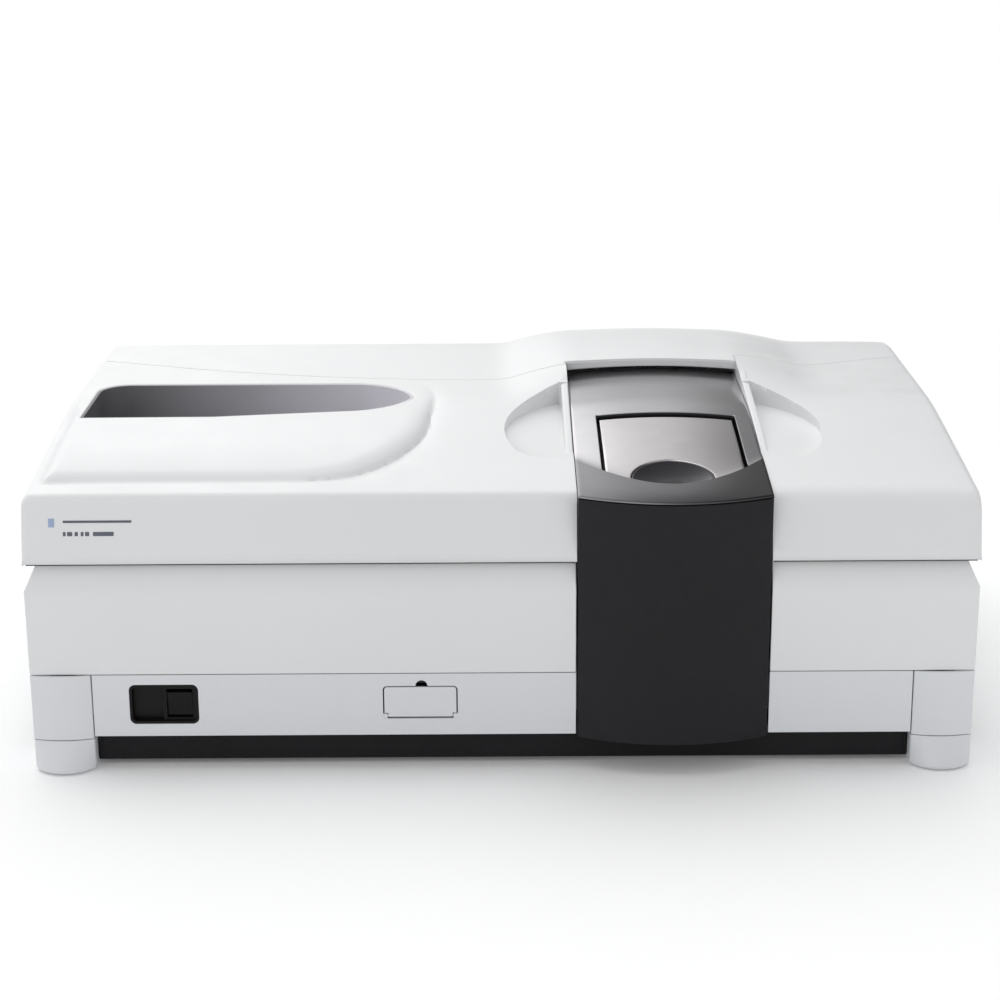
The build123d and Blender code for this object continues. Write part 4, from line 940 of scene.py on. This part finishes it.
# (y, z) of the lid's crown at its sides and along its middle
LID_SIDE = spline([
    (-32, 309.0), (-20, 309.6), (8, 311.0), (40, 313.2), (75, 315.8), (110, 319.2),
    (145, 323.2), (190, 328.6), (240, 333.6), (278, 336.6), (300, 337.0), (360, 337.8),
    (430, 338.2)])
LID_MID = spline([
    (-32, 309.6), (-20, 310.8), (8, 313.8), (40, 318.0), (75, 322.6), (110, 327.0),
    (145, 331.4), (190, 336.2), (240, 340.6), (286, 343.6), (300, 343.9), (360, 344.3),
    (430, 344.5)])


def lid_across(x):
    """Place across the lid: -1 at the left edge, 1 at the right."""
    return (np.asarray(x, float) - LID_X) / LID_HALF


def lid_front(x):
    return -24.0 + 24.0 * lid_across(x) ** 2


def lid_crease(x):
    return 22.0 + 85.0 * np.clip(np.abs(lid_across(x)), 0, 1) ** 2


def lid_height(x, y):
    """Crowned lid surface; in front of its curved crease the lip rolls down."""
    x, y = np.asarray(x, float), np.asarray(y, float)
    across = np.clip(lid_across(x), -1, 1)
    crease, front = lid_crease(x), lid_front(x)

    def crown(at):
        side, middle = np.interp(at, *LID_SIDE), np.interp(at, *LID_MID)
        swell = 1.0 * np.exp(-np.clip(at - crease, 0, 99) / 10.0)
        return middle - (middle - side) * across**2 + swell

    t = np.clip((crease - y) / (crease - front), 0, 1)
    edge = 308.6 + 0.9 * across**2
    lip = between(crown(crease), edge, t) + 5.2 * t * (1 - t) * (0.6 + 0.4 * t)
    return np.where(y < crease, lip, crown(y))


def build_lid():
    """Lid skin with a rolled lip in front, a recess in its top and walls all round."""
    # material indices: the lip's material carries a painted reflection; the black one paints the shade in the recess
    # round the inset panel
    silver, lip, painted_gap_shade = 0, 1, 2    # material indices
    x0, x1 = LID_X - LID_HALF, LID_X + LID_HALF
    left, right = RECESS_X
    insets = [0, 0.15, 0.5, 1.0]
    columns = np.array(
        [x0 + v for v in insets] + steps(84.5, 106, 2.6)
        + [left - 1.1, left - 0.6, left - 0.25, left] + steps(left + 2.6, right - 2.6, 2.6)
        + [right, right + 0.25, right + 0.6, right + 1.1] + steps(271, 284, 2.6)
        + [x1 - v for v in insets[::-1]])
    left_column = int(np.argmin(abs(columns - left)))
    right_column = int(np.argmin(abs(columns - right)))
    crease, front = lid_crease(columns), lid_front(columns)

    # lip rows run from the front edge (1) to the crease (0)
    lip_rows = [1.0, 0.995, 0.98, 0.955, *np.linspace(0.92, 0.06, 18), 0.035, 0.018, 0.009, 0.0]
    rows = [between(crease, front, t) for t in lip_rows]
    crease_row = len(rows) - 1
    rows += [between(crease, RECESS_REAR, t) for t in np.linspace(0, 1, 46)[1:-1]]
    rear_row = len(rows)
    rows += [np.full(len(columns), y)
             for y in [RECESS_REAR, 232.25, 232.6, 233.1] + steps(236, 430, 4.0)]
    count = len(columns)

    points = []
    for j, row in enumerate(rows):
        z = lid_height(columns, row)
        z = z - rounded_edge(np.minimum(columns - x0, x1 - columns), 1.0)
        if j < 5:
            z = z - rounded_edge((1 - lip_rows[j]) * (crease - front), 1.4)
        # small round on the recess edge
        out_x = np.maximum(np.maximum(left - columns, columns - right), 0)
        out_y = np.maximum(np.maximum(crease - row, row - RECESS_REAR), 0)
        z = z - rounded_edge(np.hypot(out_x, out_y), 0.6)
        points += zip(columns, row, z)
    faces, face_materials = [], []
    for row in range(len(rows) - 1):
        for i in range(count - 1):
            in_recess = crease_row <= row < rear_row and left_column <= i < right_column
            if not in_recess:
                faces.append(grid_quad(row, i, count))
                face_materials.append(lip if row < crease_row else silver)

    def wall(path, bottom, material, flip=False):
        """A wall straight down from a run of vertices to height bottom(x, y, z)."""
        base = len(points)
        for i in path:
            x, y, z = points[i]
            points.append((x, y, bottom(x, y, z)))
        for i in range(len(path) - 1):
            quad = (path[i], path[i + 1], base + i + 1, base + i)
            faces.append(quad[::-1] if flip else quad)
            face_materials.append(material)

    def recess_floor(x, y, z):
        return float(lid_height(x, y)) - RECESS_DEPTH

    def side_bottom(x, y, z):
        return LIP_BOTTOM if y < 13.5 else LID_BOTTOM

    across = range(left_column, right_column + 1)
    along = range(crease_row, rear_row + 1)
    # recess walls are black: painted shade in the gap round the inset panel
    wall([crease_row * count + i for i in across], recess_floor, painted_gap_shade)
    wall([rear_row * count + i for i in across], recess_floor, painted_gap_shade, flip=True)
    wall([row * count + left_column for row in along], recess_floor, painted_gap_shade, flip=True)
    wall([row * count + right_column for row in along], recess_floor, painted_gap_shade)

    # recess floor, black for the same painted shade
    base = len(points)
    floor_columns, floor_rows = 30, 24
    floor_x = np.linspace(left, right, floor_columns)
    for t in np.linspace(0, 1, floor_rows):
        floor_y = between(lid_crease(floor_x), RECESS_REAR, t)
        points += zip(floor_x, floor_y, lid_height(floor_x, floor_y) - RECESS_DEPTH)
    for row in range(floor_rows - 1):
        for i in range(floor_columns - 1):
            faces.append(grid_quad(row, i, floor_columns, base))
            face_materials.append(painted_gap_shade)

    # outer sides, front edge of the lip, rear edge
    last = len(rows) - 1
    wall([row * count for row in range(len(rows))], side_bottom, silver)
    wall([row * count + count - 1 for row in range(len(rows))], side_bottom, silver, flip=True)
    wall(list(range(count)), lambda x, y, z: 306.9 + 0.8 * float(lid_across(x)) ** 2, lip,
         flip=True)
    wall([last * count + i for i in range(count)], lambda x, y, z: z - 8.0, silver)
    obj = mesh_object("lid_skin", points, faces, ["lid_silver", "lid_lip", "black_metal"],
                      face_materials=face_materials)
    add_skin(obj, LID_SHEET)
    register(obj, "lid", SLOT_OF.get("lid") or "lid_silver", "lid")


def inset_plan_points():
    """Plan points of the inset panel: a grid, and rings round the finger cup."""
    x0, x1 = RECESS_X[0] + INSET_GAP, RECESS_X[1] - INSET_GAP
    insets = [0, 0.12, 0.4, 0.8, 1.3]
    columns = np.array([x0 + v for v in insets] + steps(116, 261, 2.4)
                       + [x1 - v for v in insets[::-1]])
    points = []
    for x in columns:
        start = float(lid_crease(x)) + 0.6
        for y in ([start] + steps(start + 2, INSET_REAR - 3.5, 2.4)
                  + [INSET_REAR - v for v in insets[::-1]]):
            if math.hypot(x - LID_X, y - CUP_Y) > CUP_RADIUS + 1.6:
                points.append((x, y))
    for radius in (CUP_RADIUS, CUP_RADIUS + 0.3, CUP_RADIUS + 0.8):
        for degrees in np.arange(0, 180.01, 1.6):
            for sign in (1, -1):
                x = LID_X + radius * math.cos(math.radians(degrees))
                y = CUP_Y + sign * radius * math.sin(math.radians(degrees))
                if y > float(lid_crease(x)) + 0.6:
                    points.append((x, y))
    for sign in (-1, 1):
        # where the cup rim meets the lip
        for k in np.linspace(0, 1, 400):
            angle = math.radians(-30 + 70 * k)
            x = LID_X + sign * CUP_RADIUS * math.cos(angle)
            y = CUP_Y + CUP_RADIUS * math.sin(angle)
            if y > float(lid_crease(x)) + 0.6:
                points.append((x, y))
                break
    return sorted({(round(x, 4), round(y, 4)) for x, y in points})


def build_inset():
    """Silver panel in the recess, cut away round the finger cup."""
    plan, triangles = triangulate(inset_plan_points(), [])
    faces = []
    for face in triangles:
        cx, cy = plan[list(face)].mean(0)
        in_cup = math.hypot(cx - LID_X, cy - CUP_Y) < CUP_RADIUS - 0.01
        if not (in_cup or cy < float(lid_crease(cx)) + 0.45 or cy > INSET_REAR):
            faces.append(facing_up(plan, face))
    x, y = plan[:, 0], plan[:, 1]
    edge = np.minimum(np.minimum(x - (RECESS_X[0] + INSET_GAP), RECESS_X[1] - INSET_GAP - x),
                      INSET_REAR - y)
    z = lid_height(x, np.maximum(y, lid_crease(x) + 0.4)) - INSET_DROP - rounded_edge(edge, 0.9)
    z = z - rounded_edge(np.hypot(x - LID_X, y - CUP_Y) - CUP_RADIUS, 0.7)
    points = np.stack([x, y, z], 1).tolist()
    feet = {}
    for a, b in open_edges(set(directed_edges(faces))):
        for i in (a, b):
            if i not in feet:
                points.append([points[i][0], points[i][1], points[i][2] - 5.0])
                feet[i] = len(points) - 1
        faces.append((b, a, feet[a], feet[b]))
    obj = mesh_object("lid_inset_panel", points, faces, ["inset_silver"], angle=40)
    register(obj, "lid", SLOT_OF.get("lid_inset") or "inset_silver", "lid_inset")


def build_cup():
    """Finger cup: a shallow bowl whose front tucks under the lip."""
    rings, around = 26, 120
    rim = CUP_RADIUS - 0.35
    points, faces = [], []
    for i in range(rings + 1):
        radius = rim * (i / rings) ** 0.9
        for k in range(around):
            angle = 2 * math.pi * k / around
            x, y = LID_X + radius * math.cos(angle), CUP_Y + radius * math.sin(angle)
            behind_lip = max(y, float(lid_crease(x)) + 0.4)
            top = float(lid_height(x, behind_lip)) - INSET_DROP
            bowl = 7.2 * (1 - (radius / rim) ** 2.2)
            edge = float(rounded_edge(np.array(rim - radius), 0.8))
            points.append((x, y, top - 0.25 - bowl - edge))
    for i in range(rings):
        for k in range(around):
            following = (k + 1) % around
            quad = (i * around + k, (i + 1) * around + k,
                    (i + 1) * around + following, i * around + following)
            center = np.mean([points[j] for j in quad], 0)
            if center[1] > float(lid_crease(center[0])) - 1.0:
                faces.append(quad)
    obj = mesh_object("finger_cup_bowl", points, faces, ["cup_dark"], angle=60)
    add_skin(obj, LID_SHEET)
    register(obj, "lid", SLOT_OF.get("finger_cup") or "cup_dark", "finger_cup")


build_lid()
build_inset()
build_cup()

# ------------------------------------------------------------------ marks on the front face
SMALL_MARKS_X = ((-465.5, -462.5), (-461, -455.5), (-453, -449.5), (-446.5, -443.5),
                 (-442, -437.5), (-433.5, -411.5))


def face_y(z):
    """y of the leaning front face at height z."""
    return float(np.interp(z, CRISP[1][:40], CRISP[0][:40]))


def mark(name, x0, x1, z0, z1, proud=0.35, node=None, material="mark_grey"):
    """A thin raised mark with rounded corners on the front of the left cover."""
    radius = min(0.7, (x1 - x0) / 2.2, (z1 - z0) / 2.2)
    outline = []
    for cx, cz, start in ((x1 - radius, z1 - radius, 0), (x0 + radius, z1 - radius, 90),
                          (x0 + radius, z0 + radius, 180), (x1 - radius, z0 + radius, 270)):
        for k in range(6):
            angle = math.radians(start + 18 * k)
            outline.append((cx + radius * math.cos(angle), cz + radius * math.sin(angle)))
    mid_x, mid_z = (x0 + x1) / 2, (z0 + z1) / 2
    points, count = [], len(outline)
    # rings: sunk in the face, near the top, and the smaller top itself
    for offset, scale in ((0.4, 1.0), (-proud * 0.6, 1.0), (-proud, 0.86)):
        scale_x = 1 - (1 - scale) * min(1, 2.0 / (x1 - x0))
        scale_z = 1 - (1 - scale) * min(1, 2.0 / (z1 - z0))
        for x, z in outline:
            ring_z = mid_z + (z - mid_z) * scale_z
            points.append((mid_x + (x - mid_x) * scale_x, face_y(ring_z) + offset, ring_z))
    faces = tube_faces(3, count) + [tuple(2 * count + i for i in range(count))]
    obj = mesh_object(name, points, faces, [material], angle=30)
    register(obj, "left_cover", "mark_grey", node)


mark("mark_bar", -465.5, -392.5, 280.0, 282.4, node="badge_marks")
mark("mark_square", -481, -474.5, 275.6, 284.6, material="mark_blue")
for i, (x0, x1) in enumerate(SMALL_MARKS_X):
    mark("mark_small_%d" % i, x0, x1, 266.3, 270.6, proud=0.25)


# ------------------------------------------------------------------ seam shadow strip and toe caps
# (offset, z) section of the dark strip that paints the seam's shadow
SEAM_STRIP_SECTION = [(-1.2, 234.2), (1.6, 234.2), (1.6, FOOT_Z), (-1.2, FOOT_Z)]
# the strip's two runs as (x, y, share of the offset in x, share of the offset in y)
SEAM_STRIP_RUNS = (
    ((-505.5, 560.0, 1, 0), (-505.5, 5.5, 1, 1), (78.0, 5.5, 0, 1)),
    ((290.0, 5.5, 0, 1), (505.5, 5.5, -1, 1), (505.5, 560.0, -1, 0)))


def draw_seam_shadow_strip():
    """Dark strip in the gap under the top covers, left and right of the lid, painting the seam's shadow line."""
    points, faces = [], []
    for run in SEAM_STRIP_RUNS:
        base = len(points)
        points += [(x + share_x * offset, y + share_y * offset, z)
                   for x, y, share_x, share_y in run for offset, z in SEAM_STRIP_SECTION]
        faces += tube_faces(3, 4, base) + end_caps(3, 4, base)
    obj = mesh_object("light_seal", points, faces, ["light_seal"], angle=30)
    add_modifier(obj, "edge", "BEVEL", width=0.0004, segments=2)
    register(obj, "base", "rubber")


def toe_caps():
    """Caps that close the plinth's toe against the feet, one at each end."""
    points, faces = [], []
    for sign in (-1, 1):
        base = len(points)
        # (x, inset) stations: the end sections are smaller all round
        for x, inset in ((437.6, 0.7), (438.4, 0.0), (442.4, 0.0), (443.4, 0.7)):
            section = [(16.0 + inset, 6.2 + inset), (16.0 + inset, 43.0 - inset),
                       (18.5 + inset, 45.6 - inset), (34.0 - inset, 45.6 - inset),
                       (34.0 - inset, 6.2 + inset)]
            points += [(sign * x, y, z) for y, z in section]
        faces += [q if sign > 0 else q[::-1] for q in tube_faces(4, 5, base)]
        faces += end_caps(4, 5, base)
    obj = mesh_object("toe_end_caps", points, faces, ["plinth_black"], angle=30)
    register(obj, "base", "plinth_black")


draw_seam_shadow_strip()
toe_caps()

# ------------------------------------------------------------------ carried-over CAD pieces
# edge bevel widths in metres; 0 leaves the edges plain
BEVEL_DEFAULT = 0.0004
BEVELS = {
    "lid": 0.0008, "lid_inset": 0.0005, "finger_cup": 0.0003, "bay_front_panel": 0.0012,
    "badge_marks": 0.0, "panel_screws": 0.0002, "corner_pods": 0.0015, "feet": 0.0015,
    "lower_housing_left": 0.0012, "lower_housing_right": 0.0012, "side_panels": 0.001,
    "base_casting": 0.0008, "cable_harness": 0.0, "cuvettes": 0.0001, "grating_a": 0.0,
    "grating_b": 0.0, "power_rocker": 0.0008, "switch_bezel": 0.0012}


def dress_cad_piece(name, piece):
    """Material, smooth shading and edge clean-up for one CAD piece."""
    mesh = piece.data
    slot = SLOT_OF.get(name) or "sheet_steel"
    mesh.materials.clear()
    mesh.materials.append(MATERIALS[slot])
    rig.slot(piece, slot)
    mesh.polygons.foreach_set("use_smooth", [True] * len(mesh.polygons))
    add_modifier(piece, "weld", "WELD", merge_threshold=0.00001)
    if name != "cable_harness":
        add_modifier(piece, "flat", "DECIMATE", decimate_type="DISSOLVE",
                     angle_limit=math.radians(0.15))
    width = BEVELS.get(name, BEVEL_DEFAULT)
    if width:
        add_modifier(piece, "edge", "BEVEL", width=width, segments=2, limit_method="ANGLE",
                     angle_limit=math.radians(32))
    add_modifier(piece, "normals", "WEIGHTED_NORMAL", weight=60, keep_sharp=False)


for name, piece in NODES.items():
    if not piece.hide_render:
        dress_cad_piece(name, piece)


# ------------------------------------------------------------------ stage, light and camera
def build_floor():
    bpy.ops.mesh.primitive_plane_add(size=60, location=(0, 8, 0))
    floor = bpy.context.object
    floor.name = "floor"
    tree, shader, place = new_material("floor")
    feed(tree, shader, {
        "Base Color": ramp(tree, noise(tree, place, scale=0.8, detail=3.0),
                           [(0.3, (0.90, 0.90, 0.90)), (0.7, (0.93, 0.93, 0.93))]),
        "Roughness": 0.9, "Specular IOR Level": 0.1,
        "Emission Color": (1, 1, 1, 1), "Emission Strength": 0.08})
    add_bump(tree, shader, noise(tree, place, scale=180, detail=2.0), strength=0.05,
             depth=0.0002)
    floor.data.materials.append(MATERIALS["floor"])
    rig.stage(floor)


# reflected brightness over the sine of the elevation
SHINE_UP = [(0.0, 0.50), (0.27, 0.62), (0.36, 0.75), (0.43, 1.0), (0.58, 1.0), (0.70, 0.45),
            (1.0, 0.30)]
# and over the sideways direction, 0 at the left to 1 at the right
SHINE_SIDE = [(0.0, 2.1), (0.42, 2.1), (0.53, 1.0), (0.60, 0.34), (0.67, 0.06), (1.0, 0.04)]


def brightness(tree, value, stops):
    return ramp(tree, value, [(position, (level,) * 3) for position, level in stops], "EASE")


def build_world():
    """Even light for the scene, white for the camera, shaped brightness for reflections."""
    world = bpy.data.worlds.new("studio")
    bpy.context.scene.world = world
    world.use_nodes = True
    tree = world.node_tree
    tree.nodes.clear()
    output = add_node(tree, "OutputWorld")
    even = add_node(tree, "Background", {"Color": (0.985, 0.99, 1.0, 1), "Strength": 0.645})
    backdrop = add_node(tree, "Background", {"Color": (1, 1, 1, 1), "Strength": 1.0})
    shine = add_node(tree, "Background", {"Color": (1, 1, 1, 1)})
    rays = add_node(tree, "LightPath")
    coordinates = add_node(tree, "TexCoord")
    axes = add_node(tree, "SeparateXYZ", {0: coordinates.outputs["Generated"]}).outputs
    up = brightness(tree, axes["Z"], SHINE_UP)
    # moves x from -1..1 to 0..1
    sideways = add_node(tree, "Math", {0: axes["X"], 1: 0.5, 2: 0.5}, operation="MULTIPLY_ADD")
    side = brightness(tree, sideways.outputs[0], SHINE_SIDE)
    shaped = add_node(tree, "Math", {0: up, 1: side}, operation="MULTIPLY")
    front_fill = span(tree, axes["Y"], low=0.0, high=0.55, start=0.0, stop=-0.5)
    level = add_node(tree, "Math", {0: shaped.outputs[0], 1: front_fill}, operation="MAXIMUM")
    feed(tree, shine, {"Strength": level.outputs[0]})
    lit = add_node(tree, "MixShader", {0: rays.outputs["Is Glossy Ray"],
                                       1: even.outputs[0], 2: shine.outputs[0]})
    seen = add_node(tree, "MixShader", {0: rays.outputs["Is Camera Ray"],
                                        1: lit.outputs[0], 2: backdrop.outputs[0]})
    tree.links.new(seen.outputs[0], output.inputs[0])


def build_sun():
    """Very soft sun from above, a little behind and to the left."""
    light = bpy.data.lights.new("sky_soft", "SUN")
    light.energy = 1.40
    light.angle = math.radians(70)
    light.color = (1.0, 0.998, 0.99)
    sun = bpy.data.objects.new("sky_soft", light)
    toward_sun = Vector((-0.25, 0.45, 1.0))
    sun.rotation_euler = (-toward_sun).to_track_quat("-Z", "Y").to_euler()
    sun.visible_glossy = False
    bpy.context.scene.collection.objects.link(sun)
    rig.stage(sun)


def build_camera():
    """Long lens in front of the case, looking slightly down."""
    lens = bpy.data.cameras.new("photo_view")
    lens.lens = 79.44
    lens.sensor_width = 36.0
    lens.sensor_fit = "HORIZONTAL"
    lens.clip_start = 0.05
    lens.clip_end = 200
    camera = bpy.data.objects.new("photo_view", lens)
    tilt = Matrix.Rotation(math.radians(73.0), 4, "X")
    roll = Matrix.Rotation(-0.005642, 4, "Z")
    camera.matrix_world = Matrix.Translation((-0.00151, -2.52338, 0.98505)) @ tilt @ roll
    bpy.context.scene.collection.objects.link(camera)
    bpy.context.scene.camera = camera


build_floor()
build_world()
build_sun()
build_camera()
view = bpy.context.scene.view_settings
view.view_transform = "Standard"
view.look = "None"
view.exposure = 0.0
view.gamma = 1.0

final_box = [list(v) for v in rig.bounds()] if hasattr(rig, "bounds") else None
with open("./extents.json", "w") as f:
    json.dump({"cad_box": cad_box, "final_bounds": final_box}, f)
